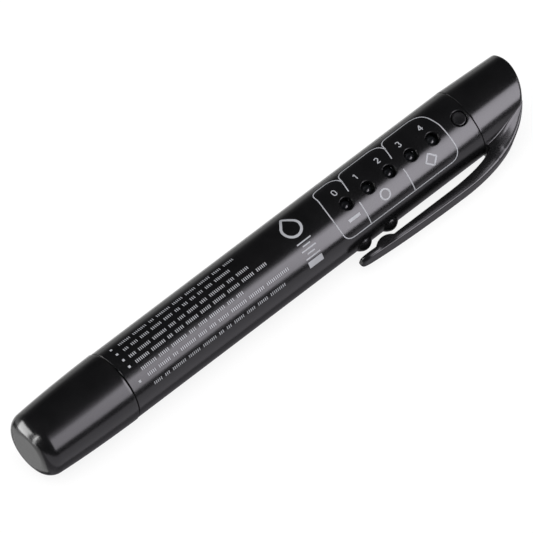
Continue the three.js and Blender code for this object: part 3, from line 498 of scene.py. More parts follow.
def makeBarrelShell():
    # a closed tube on a grid of x and phi, with a patch let in for each hole and each dome
    outer, inner, front, tail, turn = pick(
        pen, "barrelRadius boreRadius barrelFront barrelTail clipTurn")
    edge, cell, buttonCell, neck, neckFront, neckBore, neckRound = pick(
        barrel, "edge cell buttonCell neckRadius neckFront neckBore neckRound")
    cellStops = [(x + side * cell, steps) for x in lampPlaces for side, steps in ((-1, 3), (1, 12))]
    lines = stepped(front + edge, (cellStops[0][0], 17), *cellStops[1:],
                    (tail - edge - 2 * buttonCell, 6), (tail - edge, 12))
    start = joined([
        [neckFront, neckBore + 0.1],
        corner(neckFront + neckRound, neck - neckRound, neckRound, 180, 90, 5),
        *([pen["bead"] + dx, neck + dr] for dx, dr in barrel["bead"]),
        [front - 0.15, neck], [front - 0.04, neck + 0.04], [front, neck + 0.15],
        corner(front + edge, outer - edge, edge, 180, 90, 4)[:-1],
    ])
    rim = joined([corner(tail - edge, outer - edge, edge, 90, 0, 4)[1:],
                  [tail, inner + 0.12], [tail - 0.12, inner]])
    taperTail, taperFront = front + barrel["taperTail"], front + barrel["taperFront"]
    boreLines = lines[-2::-1]
    boreLines = boreLines[boreLines > taperTail]
    profile = joined([
        start, pack(lines, outer), rim, pack(boreLines, inner),
        [taperTail, inner], [taperFront, neckBore], [neckFront + 0.1, neckBore],
    ])
    lampHalf, domeHalf = math.asin(cell / outer), math.asin(barrel["domeCell"] / outer)
    wide, apart = 12, 10  # columns of a cell, and from the lamps' cells to the domes'
    phi = stepped(-lampHalf, (lampHalf, wide), (turn - domeHalf, apart), (turn + domeHalf, wide),
                  (2 * pi - lampHalf, 60))[:-1]
    lampCols, domeCols = (0, wide), (wide + apart, 2 * wide + apart)
    firstOut = len(start)
    firstIn = firstOut + len(lines) + len(rim)
    rowX = profile[:, 0]
    skip = np.zeros((len(profile), len(phi)), bool)
    patches = []

    def letIn(low, high, cols, about):
        rows = [firstOut + int(np.argmin(abs(lines - x))) for x in (low, high)]
        skip[slice(*rows), slice(*cols)] = True
        return cellBorder(rowX, phi, rows, cols, about)

    holes = [(x, x, barrel["lampHole"], cell) for x in lampPlaces]
    holes.append((tail - edge - buttonCell, pen["button"], barrel["buttonHole"], buttonCell))
    for x, centre, hole, half in holes:
        border = letIn(x - half, x + half, lampCols, 0)
        inX = rowX[firstIn:] + 1e-6
        inRows = np.flatnonzero((inX < x + half) & (inX > x - half)) + firstIn
        first = inRows[0] - 1 if half == cell else firstIn - 1
        skip[first:inRows[-1], slice(*lampCols)] = True
        patches.append(holePatch(*border, centre, hole))
    for centre, low, high in barrel["domes"]:
        patches.append(domePatch(*letIn(low, high, domeCols, turn), centre))
    points = aroundPen(profile[:, :1], profile[:, 1:], phi[None])
    return [skin(points, wrapRows=True, skip=skip)] + patches


def makeStop():
    # the battery's stop: an outline in x and radius carried round below the level z, from
    # phi = acos(level / radius) round to the same height on the other side
    x0, x1, inner, outer, level = pick(barrel, "stopFront stopTail stopInner stopOuter stopLevel")
    x, radius = array([(x0, inner + 0.2), (x0 + 0.2, inner), (x1 - 0.2, inner),
                       (x1, inner + 0.2), (x1, outer), (x0, outer)]).T
    share = linspace(0, 1, 60)[:, None]
    start = np.arccos(level / radius)
    return skin(aroundPen(x, radius, start + (2 * pi - 2 * start) * share), ends=True)


def makeRails():
    # two rails a side hold the board's edges; each runs into the barrel's wall
    front, tail = pick(pen, "boardFront boardTail")
    inner = barrel["railInner"]
    return [block((front, y0, z0), (tail, y1, z1), 0.1, 0.1)
            for z0, z1, outer in barrel["rails"] for y0, y1 in ((inner, outer), (-outer, -inner))]


makePiece("barrel_shell", makeBarrelShell() + [makeStop()] + makeRails(), shellPlastic,
          ["barrel"])
print("barrel made")

# end cap with its clip; pairs are (x, value) along the pen
endCap = dict(
    wall=1.5, topStep=0.68, topRound=0.6, mouthEdge=0.05, pocket=7.53, shelf=142.0, core=5.5,
    coreFloor=1.6, rimRound=(0.35, 0.95))
clip = dict(
    tip=92.3, tipReach=12.85, tipHalfWidth=2.6, tipCorner=1.0, tipRound=(0.5, 0.15), tipInner=11.35,
    tipShrink=1.8, tipLength=3.5, crown=123.75, crownReach=14.05, crownHandle=17.0, halfWidth=3.0,
    taper=11.0, inner=11.73, crotchStart=119.0, crotchReach=9.3, crotchHandle=3.9, rootStart=134.1,
    flareStart=133.0, flareEnd=146.8, flareHalfWidth=6.2,
    swoop=20.45, swoopDrop=5.75, swoopEnd=-8.2, ridge=99.6, ridgeChord=5.2, ridgeHeight=1.1,
    lean=0.46, fillet=0.5, edgeShare=0.42, wall=0.8, sunk=0.03, sinkStart=143.5, sinkLength=1.5,
    ridgeEase=0.12, edges=((126, 0.36), (137, 0.85)),
    hollow=((142.2, 7.9), (143.5, 6.3)),
    bulges=((126, 0.2), (133, 0.25), (135.4, 0.19), (137, 0.27), (139.5, 0.1), (141, 0)),
    leans=((133.8, 0), (136, 0.2), (138.5, 0.43), (140, 0.66), (141, 0.88), (142, 1)),
    fillets=((134.2, 0.2), (136.6, 0.6), (139, 1), (141.5, 0.3)))


def clipCurves():
    # Beziers: the swooping back, the blade's outside, its inside and crotch, and the flare
    crown, reach, inner, root, half, flare, wide = pick(
        clip, "crown crownReach inner rootStart halfWidth flareStart flareHalfWidth")
    swoop, drop, end = pick(clip, "swoop swoopDrop swoopEnd")
    top, length = pen["endTop"], clip["flareEnd"] - flare
    return (
        bezier([(crown, reach), (crown + swoop, reach), (top, drop), (top, end)], 400),
        bezier([(clip["tip"], clip["tipReach"]), (crown - clip["crownHandle"], reach),
                (crown, reach)], 200),
        bezier([(clip["crotchStart"], inner), (root - clip["crotchHandle"], inner),
                (root, clip["crotchReach"])], 100),
        bezier([(flare, half), (flare + 0.31 * length, half),
                (flare + 0.67 * length, half + 0.44 * (wide - half)), (flare + length, wide)], 200))


backCurve, bladeCurve, crotchCurve, flareCurve = clipCurves()


def backX(height):
    # how far along the pen the back curve lies at a height towards the clip
    return np.interp(-height, -backCurve[:, 1], backCurve[:, 0])


def cupRadius(x):
    # the turned cup: a straight taper, then a round corner at the top
    step, rounding = pick(endCap, "topStep topRound")
    foot, bent = pen["endMouth"] + endCap["mouthEdge"], pen["endTop"] - rounding
    taper = pen["barrelRadius"] - step * (x - foot) / (bent - foot)
    arc = circleAt(rounding, np.clip(x - bent, 0, rounding))
    return np.where(x > bent, pen["barrelRadius"] - step - rounding + arc, taper)


def makeEndShell():
    # one meridian for each angle phi from the clip: up the taper to the back surface, over its
    # rounded rim, along x = backX(r cos phi) to the axis, and back through the hollow to the mouth
    phi = join([linspace(0, pi, 97), -linspace(pi, 0, 97)[1:-1]])
    across = cos(phi)
    mouth, top, radius = pick(pen, "endMouth endTop barrelRadius")
    edge, wall, pocket, shelf, core = pick(endCap, "mouthEdge wall pocket shelf core")
    rounding = np.interp(across, [-1, 1], endCap["rimRound"])
    rimX = np.full(len(phi), shelf + 2)
    for _ in range(60):
        rimX = 0.5 * rimX + 0.5 * minimum(backX(cupRadius(rimX) * across), top - 0.02)
    rings = corner(mouth + edge, radius - edge, edge, 180, 90, 4).tolist()
    wallX = mouth + edge + (rimX - rounding - mouth - edge) * linspace(0, 1, 40)[1:, None]
    rings += [(x, cupRadius(x)) for x in wallX]
    rimRadius = cupRadius(rimX)
    inRadius = rimRadius - rounding
    rings += [(bend(wallX[-1], rimX, backX(inRadius * across), t),
               bend(cupRadius(wallX[-1]), rimRadius, inRadius, t))
              for t in linspace(0, 1, 10)[1:-1]]
    rings += [(minimum(backX(inRadius * share * across), top), inRadius * share)
              for share in linspace(1, 0, 26)]
    rings += [(minimum(backX(core * share * across + wall) - wall, top - endCap["coreFloor"]),
               core * share) for share in linspace(0, 1, 16)]
    rings += [(shelf, core), (shelf, pocket), (mouth + 0.1, pocket), (mouth, pocket + 0.1)]
    turn = phi + pen["clipTurn"]
    return skin([aroundPen(*ring, turn) for ring in rings], wrapRows=True)


def clipOuter(x):
    return np.where(x < clip["crown"], between(x, bladeCurve), between(x, backCurve))


def clipInner(x):
    # flat, dropping a little towards the tip and curving down to the end cap, less the ridge:
    # an arc over its chord
    fall = maximum(0, 1 - (x - clip["tip"]) / clip["taper"]) ** 2
    base = between(x, crotchCurve) - (clip["inner"] - clip["tipInner"]) * fall
    half, rise = clip["ridgeChord"] / 2, clip["ridgeHeight"]
    ball = (half**2 + rise**2) / (2 * rise)
    return base - higher(0, circleAt(ball, x - clip["ridge"]) - (ball - rise), clip["ridgeEase"])


def clipHalf(x):
    half, tipHalf = pick(clip, "halfWidth tipHalfWidth")
    taper = maximum(0, 1 - (x - clip["tip"]) / clip["taper"])
    blade = half - (half - tipHalf) * taper
    return np.where(x > clip["flareStart"], between(x, flareCurve), blade)


def makeClip():
    # sections carried along the pen; each half runs from the middle of the outside over the round
    # edge, down a side that leans and draws in by bulge times the square of the height, and in
    # along the inside. Past rootStart the side ends on the shell in a fillet, and the inside is an
    # arc within its wall.
    tip, tipCorner, root, tipRound, sunk = pick(clip, "tip tipCorner rootStart tipRound sunk")
    tipTurn = linspace(0, pi / 2, 9)
    x = join([
        tip + tipCorner * (1 - cos(tipTurn)), arange(tip + tipCorner + 0.25, 103.0, 0.25),
        arange(103.0, 131.0, 0.75), arange(131.0, root - 0.1, 0.4),
        root + array([0, 0.04, 0.09, 0.13]), linspace(root + 0.15, clip["flareEnd"], 44),
    ])[:, None]
    inward = np.zeros_like(x)
    inward[:len(tipTurn), 0] = 1 - sin(tipTurn)
    ahead = np.clip(1 - (x - tip) / clip["tipLength"], 0, 1)
    half = clipHalf(x) - clip["tipShrink"] * (1 - circleAt(1, ahead))
    sink = np.clip((x - clip["sinkStart"]) / clip["sinkLength"], 0, 1) * sunk
    top = clipOuter(x) - tipRound[0] * inward - sink
    low = clipInner(x) + tipRound[1] * inward
    drop = 1 - circleAt(1, np.clip((x - root) / 0.15, 0, 1))
    shell = cupRadius(maximum(x, pen["endMouth"] + 0.2)) - sunk
    onShell = circleAt(shell, half, 1)
    thick = top - np.where(x > root, onShell, low)
    edge = maximum(minimum(between(x, clip["edges"]), thick * clip["edgeShare"]), 0.02)
    edgeTop = top - edge
    rise = maximum(edgeTop - onShell, 0.02) * drop
    lean = clip["lean"] * between(x, clip["leans"]) * rise / 2
    topHalf, footHalf = half - lean, half + lean
    onShell = circleAt(shell, footHalf, 1)
    foot = minimum((low + edge) * (1 - drop) + onShell * drop, edgeTop - 0.03)
    tall = edgeTop - foot
    rounding = clip["fillet"] * drop * between(x, clip["fillets"])
    rounding = minimum(rounding, 0.6 * maximum(tall, 0))
    outHalf = footHalf + 0.8 * rounding
    outFoot = foot + circleAt(shell, outHalf, 1) - onShell
    # the side, from its top down to the fillet
    even = linspace(1, 0, 7)[1:-1]
    share = even + rounding / tall * (1 - even)
    sideH = foot + tall * share
    bulgeFoot = foot + maximum(low + edge - foot, 0) * np.clip(1 - (x - root) / 3, 0, 1)
    high = np.clip((sideH - bulgeFoot) / (edgeTop - bulgeFoot), 0, 1)
    bulge = between(x, clip["bulges"]) * (1 - inward)
    sideW = footHalf * (1 - share) + topHalf * share - bulge * high**2
    # the inside, of the blade and of the root
    inTurn = radians([18, 36, 54, 72, 90])
    bladeW = join([half - edge + edge * cos(inTurn), (half - edge) * [0.6, 0.2]], 1)
    bladeH = join([low + edge - edge * sin(inTurn), low * [1, 1]], 1)
    rootW = half * [0.97, 0.93, 0.87, 0.78, 0.66, 0.42, 0.14]
    rootH = minimum(circleAt(between(x, clip["hollow"]), rootW, 0.5), top - clip["wall"])
    turn, t = radians(linspace(90, 0, 6)), linspace(0, 1, 6)
    w = join([topHalf - bulge - edge + edge * cos(turn), sideW,
              bend(footHalf, footHalf, outHalf, t), bladeW * (1 - drop) + rootW * drop], 1)
    h = join([edgeTop + edge * sin(turn), sideH,
              bend(foot + rounding, foot, outFoot, t), bladeH * (1 - drop) + rootH * drop], 1)
    w, h = join([w, -w[:, ::-1]], 1), join([h, h[:, ::-1]], 1)
    return skin(onSide(x, w, h, pen["clipTurn"]), ends=True)


tongue = dict(
    gap=0.3, thick=1.12, reach=6, root=4.25, inWall=0.75, round=0.3, low=-2.8, high=2.0)


def makeTongue(side):
    # a curved bar beside the battery: a closed outline in x and radius, carried round from its
    # lower to its upper edge, both level in the pen's frame
    rounding, mouth = tongue["round"], pen["endMouth"]
    outer, inWall = pen["boreRadius"] - tongue["gap"], pen["barrelRadius"] - tongue["inWall"]
    inner, root = outer - tongue["thick"], mouth + tongue["root"]
    front = pen["barrelTail"] - tongue["reach"] + rounding
    x, radius = joined([
        corner(front, outer - rounding, rounding, 180, 90, 4), [mouth, outer],
        [mouth + 0.3, inWall], [root, inWall], [root, inner],
        corner(front, inner + rounding, rounding, 270, 180, 4)]).T
    z = linspace(tongue["low"], tongue["high"], 17)[:, None]
    return skin(pack(x, circleAt(radius, z) * side, z), ends=True)


makePiece("end_cap_shell", [makeEndShell(), makeClip(), makeTongue(-1), makeTongue(1)],
          shellPlastic, ["end_cap"], "end_cap_body")
print("end cap made")

# button
button = dict(
    top=8.81, bottom=6.47, radius=1.7, round=0.22, flange=2.3, flangeHeight=0.55, dish=0.06)


def makeButton():
    top, bottom, radius, rounding, flange = pick(button, "top bottom radius round flange")
    flangeTop = bottom + button["flangeHeight"]
    share = linspace(1, 0, 8)
    dish = pack((radius - 0.3) * share, top - button["dish"] * (1 - share**2))
    return upright([
        [0, bottom], [flange - 0.1, bottom], [flange, bottom + 0.1], [flange, flangeTop - 0.1],
        [flange - 0.1, flangeTop], [radius, flangeTop],
        corner(radius - rounding, top - rounding, rounding, 0, 90, 6), dish], pen["button"])


makePiece("button_cap", [makeButton()], buttonPlastic, ["power_button"],
          "button_body")

# lamps: a flanged foot on the board and a domed lens behind each hole
lamp = dict(top=7.88, radius=1.35, lens=1.55, flange=1.7, flangeHeight=0.6)
boardFoot = pen["boardTop"] + 0.02  # terminals and solder reach down to the board's top


def makeLamp(x):
    top, radius, lens, flange = pick(lamp, "top radius lens flange")
    shoulder = pen["solder"] + lamp["flangeHeight"]
    domed = corner(0, top - lens, lens, math.degrees(math.acos((radius - 0.05) / lens)), 90, 10)
    return upright([
        [0, boardFoot], [flange - 0.1, boardFoot], [flange, boardFoot + 0.1],
        [flange, shoulder - 0.08], [flange - 0.08, shoulder], [radius + 0.1, shoulder],
        [radius, shoulder + 0.1], [radius, domed[0, 1] - 0.06], domed[:-1], [0, top]], x, sides=40)


for i, x in enumerate(lampPlaces, 1):
    makePiece(f"lamp_{i}", [makeLamp(x)], lampEpoxy, [f"led_{i}"])
print("button and lamps made")

# the board and what stands on it
board = dict(
    resistorY=-3.3, resistor=(1.6, 0.8, 0.45), capacitorX=126.85, capacitor=(2.0, 1.25, 0.9),
    chipX=92.15, chipHalf=1.5, chipBottom=4.825, chipTop=5.825, chipEdge=0.12, legTop=5.32,
    legPitch=0.65, legReach=2.45, legWidth=0.3, legThick=0.14)
refined("circuit_board_plate", "circuit_board", boardMask())


def makeEnded(names, x, y, size, share, material, node):
    # a chip part: a rounded body, and its two metal ends, each the share of its length
    length, width, height = size
    base = pen["solder"]
    body = block((x - length / 2 + 0.04, y - width / 2 + 0.03, base),
                 (x + length / 2 - 0.04, y + width / 2 - 0.03, base + height - 0.02), 0.05, 0.04)
    ends = []
    for side in (-1, 1):
        middle, reach = x + side * length * (0.5 - share / 2), length * share / 2
        ends.append(block((middle - reach, y - width / 2, boardFoot),
                          (middle + reach, y + width / 2, base + height), 0.08, 0.07))
    makePiece(names[0], [body], material, [node])
    makePiece(names[1], ends, solderTin)


for i, x in enumerate(lampPlaces, 1):
    makeEnded((f"resistor_{i}", f"resistor_ends_{i}"), x, board["resistorY"], board["resistor"],
              0.2, resistorGlaze, f"led_resistor_{i}")
makeEnded(("capacitor_body", "capacitor_ends"), board["capacitorX"], 0, board["capacitor"],
          0.24, capacitorCeramic, "buffer_capacitor")


def chipLeg(x, side):
    # a flat strip out of the body, bent down to the board and out again: its path in y and z,
    # with the leg's width across it
    half, z0, reach, width = pick(board, "chipHalf legTop legReach legWidth")
    z1, r = pen["boardTop"] + 0.1, half - 0.05
    path = array([(r, z0), (r + 0.22, z0), (r + 0.36, z0 - 0.1), (r + 0.42, z0 - 0.25),
                  (r + 0.46, z1 + 0.2), (r + 0.55, z1 + 0.04), (r + 0.68, z1), (reach, z1)])
    out = aside(np.gradient(path, axis=0), board["legThick"])
    ring = []
    for sideX, offset in ((-1, 1), (1, 1), (1, -1), (-1, -1)):
        y, z = (path + out * offset).T
        ring.append(pack(x + sideX * width / 2, y * side, z))
    return skin(np.stack(ring, 1), ends=True)


half, x, top, edge, pitch = pick(board, "chipHalf chipX chipTop chipEdge legPitch")
chip = block((x - half, -half, board["chipBottom"]), (x + half, half, top), edge, edge)
dot = [[0, top + 0.01], [0.22, top + 0.01], [0.25, top - 0.05], [0, top - 0.05]]
legs = [chipLeg(x + (k - 1.5) * pitch, side) for k in range(4) for side in (-1, 1)]
makePiece("chip_body", [chip], chipEpoxy, ["controller_chip"])
makePiece("chip_mark", [upright(dot, x - 0.95, -0.95, 24)], inkGrey)
makePiece("chip_legs", legs, solderTin)
refined("switch_housing", "switch_body", switchPolymer)
plunger = dict(radius=0.75, bottom=5.37, top=6.17, edge=0.15)
radius, bottom, top, edge = pick(plunger, "radius bottom top edge")
pin = [[0, bottom], [radius - 0.05, bottom], [radius, bottom + 0.05],
       corner(radius - edge, top - edge, edge, 0, 90, 4), [0, top]]
makePiece("plunger_pin", [upright(pin, pen["button"], sides=40)], plungerAcetal,
          ["switch_plunger"], "button_body")
print("board made")

# probes, their holder and the wires
probe = dict(
    tip=7.2, radius=1.0, tipRound=0.7, collarFront=25.6, collarTail=26.5, collarRadius=1.6,
    tail=27.5, apart=3.0)
wire = dict(
    radius=0.6,
    route=((27.8, 3, 0), (30.2, 3, 0), (48.28, 3, -2.316), (68.77, 3, -1.158),
           (86.85, 3.95, 5.3), (90.35, 3.95, 5.3)))
drop = dict(wireX=90.55, wireY=3.95, wireSize=(0.62, 0.75), past=2.3, aside=1.1, size=(0.5, 0.28))
refined("probe_plug", "probe_holder", holderPlastic)


def makeProbe(y):
    tip, r, rounding, c0, c1, wide, tail = pick(
        probe, "tip radius tipRound collarFront collarTail collarRadius tail")
    return turned([
        [tip, 0], corner(tip + rounding, r - rounding, rounding, 180, 90, 8), [c0 - 0.05, r],
        [c0, r + 0.05], [c0, wide - 0.1], [c0 + 0.1, wide], [c1 - 0.1, wide], [c1, wide - 0.1],
        [c1, r], [tail, r], [tail, 0]], 48, axisY=y)


for name, side, cover, slot in (("left", -1, wireBlack, "wire_black"),
                                ("right", 1, wireRed, "wire_red")):
    makePiece(f"probe_pin_{name}", [makeProbe(side * probe["apart"])], nickelPlate,
              [f"probe_{name}"])
    route = through(array(wire["route"]) * [1, side, 1], 24)
    makePiece(f"wire_{name}", [tube(route, wire["radius"], (0, 1, 0), 16)], cover,
              [f"probe_wire_{name}"])


def solderDrop(x, y, radius, height):
    # a frozen drop: an upright quarter of an ellipse turned round
    z = pen["boardTop"] + 0.01
    a = radians(linspace(0, 90, 7))
    return upright([[0, z], pack(radius * cos(a), z + height * sin(a))], x, y, 20)


drops = [solderDrop(drop["wireX"], side * drop["wireY"], *drop["wireSize"]) for side in (-1, 1)]
drops += [solderDrop(x + drop["past"], side * drop["aside"], *drop["size"])
          for x in lampPlaces for side in (-1, 1)]
makePiece("solder_joints", drops, solderTin)
print("probes and wires made")

# the cell, its contacts and the spring
battery = dict(
    front=90.75, tail=134.25, radius=5.25, edge=0.4, nub=1.9, nubFront=89.95, nubRound=0.25,
    shoulder=3.6, plate=4.9, rear=4.2, rearEnd=134.45, frontLip=4.2, tailLip=4.4)
spring = dict(front=135.05, tail=140.7, turns=4.5, small=2.0, large=3.6, wire=0.3)


def makeCell():
    # sleeve: a tube drawn in over both edges; can: the nub, the crimped plates and the steel within
    front, tail, r, e, nub, nubFront, nubRound, plate, rear, end = pick(
        battery, "front tail radius edge nub nubFront nubRound plate rear rearEnd")
    frontLip, tailLip, shoulder = pick(battery, "frontLip tailLip shoulder")
    sleeve = [[front + 0.12, frontLip], [front + 0.02, frontLip + 0.15],
              corner(front + e, r - e, e, 180, 90, 6), corner(tail - e, r - e, e, 90, 0, 6),
              [tail - 0.02, tailLip + 0.15], [tail - 0.12, tailLip]]
    can = [[nubFront, 0], [nubFront, nub - 0.3],
           corner(nubFront + nubRound, nub - nubRound, nubRound, 180, 90, 4),
           [front + 0.1, nub], [front + 0.2, nub + 0.15], [front + 0.15, shoulder],
           [front + 0.15, plate], [tail - 0.15, plate], [tail - 0.15, rear + 0.15],
           [end - 0.05, rear], [end, rear - 0.1], [end, 0]]
    return [turned(part, 96, part is sleeve, axisZ=pen["batteryZ"]) for part in (sleeve, can)]


sleeve, can = makeCell()
makePiece("cell_sleeve", [sleeve], sleevePrint(), ["battery_cell"], "battery_body")
makePiece("cell_can", [can], cellSteel, body="battery_body")
refined("positive_plate", "positive_contact", nickelPlate)
refined("negative_plate", "negative_contact", nickelPlate, "end_cap_body")


def makeSpring():
    # a cone of wire: radius grows evenly with the angle while x runs from front to tail
    front, tail, turns, small, large = pick(spring, "front tail turns small large")
    share = linspace(0, 1, 240)
    a, r = 2 * pi * turns * share, small + (large - small) * share
    path = pack(front + (tail - front) * share, r * cos(a), pen["batteryZ"] + r * sin(a))
    return tube(path, spring["wire"], (1, 0, 0), 12)


makePiece("spring_coil", [makeSpring()], nickelPlate, ["contact_spring"],
          "end_cap_body")
print("cell and contacts made")

# pad print on the barrel: plain numbers, a frame of three tabs and generic marks, at places in mm
# along the pen and degrees round it
ink = dict(
    line=0.27, number=1.7, numberWidth=0.25, tick=0.2, tickHeight=0.8, tickPitch=0.52, spot=0.6,
    numberPhi=-25, numberShift=0.4, group=(3, 10), groupLeast=5, groupGap=1.5, above=0.006,
    below=0.03)


def inkLine(path, width, closed=False, step=0.2):
    # a ribbon on the barrel along a path in x and degrees round the pen: the path resampled
    # evenly, its edges half the width to each side, closed between two radii
    path = np.asarray(path, float) * [1, perDegree]
    if closed:
        path = np.append(path, path[:1], 0)
    away = np.append(0, np.cumsum(np.linalg.norm(np.diff(path, axis=0), axis=1)))
    at = linspace(0, away[-1], max(3, int(away[-1] / step) + 2))
    path = pack(*(np.interp(at, away, values) for values in path.T))
    if closed:
        path = path[:-1]
        run = np.roll(path, -1, 0) - np.roll(path, 1, 0)
    else:
        run = np.gradient(path, axis=0)
    out, radius = aside(run, width), pen["barrelRadius"]
    low, high = radius - ink["below"], radius + ink["above"]
    ring = [aroundPen(edge[:, 0], r, edge[:, 1] / radius) for edge, r in (
        (path + out, low), (path + out, high), (path - out, high), (path - out, low))]
    return skin(np.stack(ring, 1), wrapRows=closed, ends=not closed)


def roundPath(points):
    # points as (x, degrees, corner radius): each corner becomes a quadratic Bezier that starts
    # and ends the radius away from it
    p = array([(x, phi * perDegree) for x, phi, _ in points])
    path = [p[:1]]
    for before, at, after, (_, _, r) in zip(p, p[1:], p[2:], points[1:]):
        handles = [at + unit(before - at) * r, at, at + unit(after - at) * r]
        path.append(bezier(handles, 12) if r else [at])
    return join(path + [p[-1:]]) / [1, perDegree]


def makeFrame():
    # the outline of the five-lamp panel with its three tabs, and the lines between the tabs
    first = [(98.4, -12.6, 0), (99.1, -33, 0), (98.9, -51, 3.2), (91.6, -51, 2.2), (91.5, -32, 0),
             (90.6, -2, 3.0), (90.75, 22, 2.0), (91.1, 49.5, 2.8), (126.2, 49.5, 2.8),
             (126.4, 30, 0), (126.2, -10, 0), (124.9, -51, 3.8), (112.9, -51, 2.3), (112.6, -32, 0)]
    second = [(111.8, -12.6, 0), (112.5, -33, 0), (112.3, -51, 3.2), (99.5, -51, 2.3),
              (99.2, -32, 0)]
    paths = [roundPath(first), roundPath(second)] + [[(x, 10), (x, 49)] for x in (98.7, 112.35)]
    return [inkLine(path, ink["line"]) for path in paths]


# each number's stroke in a box 0.6 wide and 1 high
strokes = (
    join([corner(0.3, 0.7, 0.26, 0, 180, 10), corner(0.3, 0.3, 0.26, 180, 360, 10)]),
    [(0.1, 0.78), (0.34, 0.97), (0.34, 0.03)],
    join([corner(0.29, 0.71, 0.25, 165, -38, 10), [(0.05, 0.05), (0.57, 0.05)]]),
    join([corner(0.27, 0.735, 0.225, 160, -80, 10), corner(0.27, 0.285, 0.255, 80, -160, 10)]),
    [(0.62, 0.3), (0.0, 0.3), (0.44, 0.99), (0.44, 0.03)],
)


def makeNumbers():
    ribbons = []
    for number, x in enumerate(lampPlaces):
        path = (np.asarray(strokes[number]) - [0.3, 0.5]) * ink["number"] * [1, -1 / perDegree]
        path += [x - ink["numberShift"], ink["numberPhi"]]
        ribbons.append(inkLine(path, ink["numberWidth"], closed=number == 0, step=0.08))
    return ribbons


def makeMarks():
    # under the lamps a bar, a ring and a diamond, and beside the panel a drop, a scale and a bar
    mark = [1, 1 / perDegree]
    ring = corner(0, 0, 1.25, 0, 360, 40)[:-1] * mark + [105.15, 24]
    diamond = array([(-1.6, 0), (0, -1.6), (1.6, 0), (0, 1.6)]) * mark + [119.4, 24]
    bowl = corner(0, 0, 2.4, -225, 45, 39) * [1, -1]
    marks = [inkLine([(93.9, 24), (97.3, 24)], 0.75), inkLine(ring, 0.4, True),
             inkLine(diamond, 0.4, True, 0.1),
             inkLine(join([bowl, [(0, -3.9)]]) * mark + [81.8, -21], 0.65, True),
             inkLine([(82.0, 37), (82.0, 47.5)], 4.2)]
    return marks + [inkLine([(82 - reach, phi), (82 + reach, phi)], 0.32)
                    for reach, phi in ((2.1, 6), (1.1, 12.5), (2.1, 19), (1.1, 25.5), (2.1, 32))]


def makeRows():
    # rows of fine ticks in groups, with a round spot before some of them
    pitch, reach = ink["tickPitch"], ink["tickHeight"] / 2 / perDegree
    chance = np.random.default_rng(5)
    ribbons = []
    for phi, x, end in ((-42, 31.5, 66.7), (-27.8, 31.2, 63.7), (-13.4, 31.0, 67.5),
                        (-1.1, 31.3, 71.2), (12.2, 31.3, 62.3), (24.9, 31.9, 75.3),
                        (42.1, 32.3, 72.5)):
        while x < end:
            left = int((end - x) / pitch) + 1
            count = min(chance.integers(*ink["group"]), left)
            for _ in range(left if left - count < ink["groupLeast"] else count):
                ribbons.append(inkLine([(x, phi - reach), (x, phi + reach)], ink["tick"], step=0.3))
                x += pitch
            x += ink["groupGap"] * pitch
    return ribbons + [inkLine([(28.9, phi), (29.5, phi)], ink["spot"], step=0.1)
                      for phi in (-43, -28.7, -14.5, -1.1, 25.7)]


for name, ribbons in (("print_frame", makeFrame()), ("print_numbers", makeNumbers()),
                      ("print_marks", makeMarks()), ("print_rows", makeRows())):
    makePiece(name, ribbons, inkGrey, sharp=40)
print("print made")

# camera, at the photograph's angle
view = dict(
    along=74.23, across=-0.88, width=123.2, lens=1500.0, sensor=36, roll=(0.79726, 0.60363),
    tilt=(0.9367, 0.350), lookUp=(0, -0.6597, 0.7515), lookSide=(0, -0.7515, -0.6597))
penAlong, lookUp, lookSide = Vector((1, 0, 0)), Vector(view["lookUp"]), Vector(view["lookSide"])
(rollAlong, rollAside), (tiltUp, tiltAlong) = view["roll"], view["tilt"]
toCamera = (tiltUp * lookUp - tiltAlong * penAlong).normalized()
inPicture = (tiltUp * penAlong + tiltAlong * lookUp).normalized()
right = rollAlong * inPicture + rollAside * lookSide
up = rollAside * inPicture - rollAlong * lookSide
aim = Vector((penStart[0] + view["along"] * mm, *penStart[1:])) + view["across"] * mm * lookSide
scene = bpy.context.scene
camera = bpy.data.objects.new("camera", bpy.data.cameras.new("camera"))
scene.collection.objects.link(camera)
camera.data.lens, camera.data.sensor_width = view["lens"], view["sensor"]
camera.data.clip_start, camera.data.clip_end = 0.01, 20
distance = view["width"] * mm * view["lens"] / view["sensor"]
turnTo = Matrix((right, up, toCamera)).transposed()
camera.matrix_world = Matrix.Translation(aim + toCamera * distance) @ turnTo.to_4x4()
scene.camera = camera

# floor, lights and the cards that the gloss reflects
scene.view_settings.view_transform = "Standard"
scene.view_settings.look = "None"
cool, white = "#faf6ff", "#ffffff"


def level(x0, x1, y0, y1, z=-0.4):
    return [(x0, y0, z), (x1, y0, z), (x1, y1, z), (x0, y1, z)]


def standing(x0, x1, y, z0, z1):
    return [(x0, y, z0), (x1, y, z0), (x1, y, z1), (x0, y, z1)]


def flatSheet(name, corners, material):
    mesh = bpy.data.meshes.new(name)
    mesh.from_pydata(corners, [], [list(range(len(corners)))])
    mesh.materials.append(material)
    sheet = bpy.data.objects.new(name, mesh)
    scene.collection.objects.link(sheet)
    return sheet


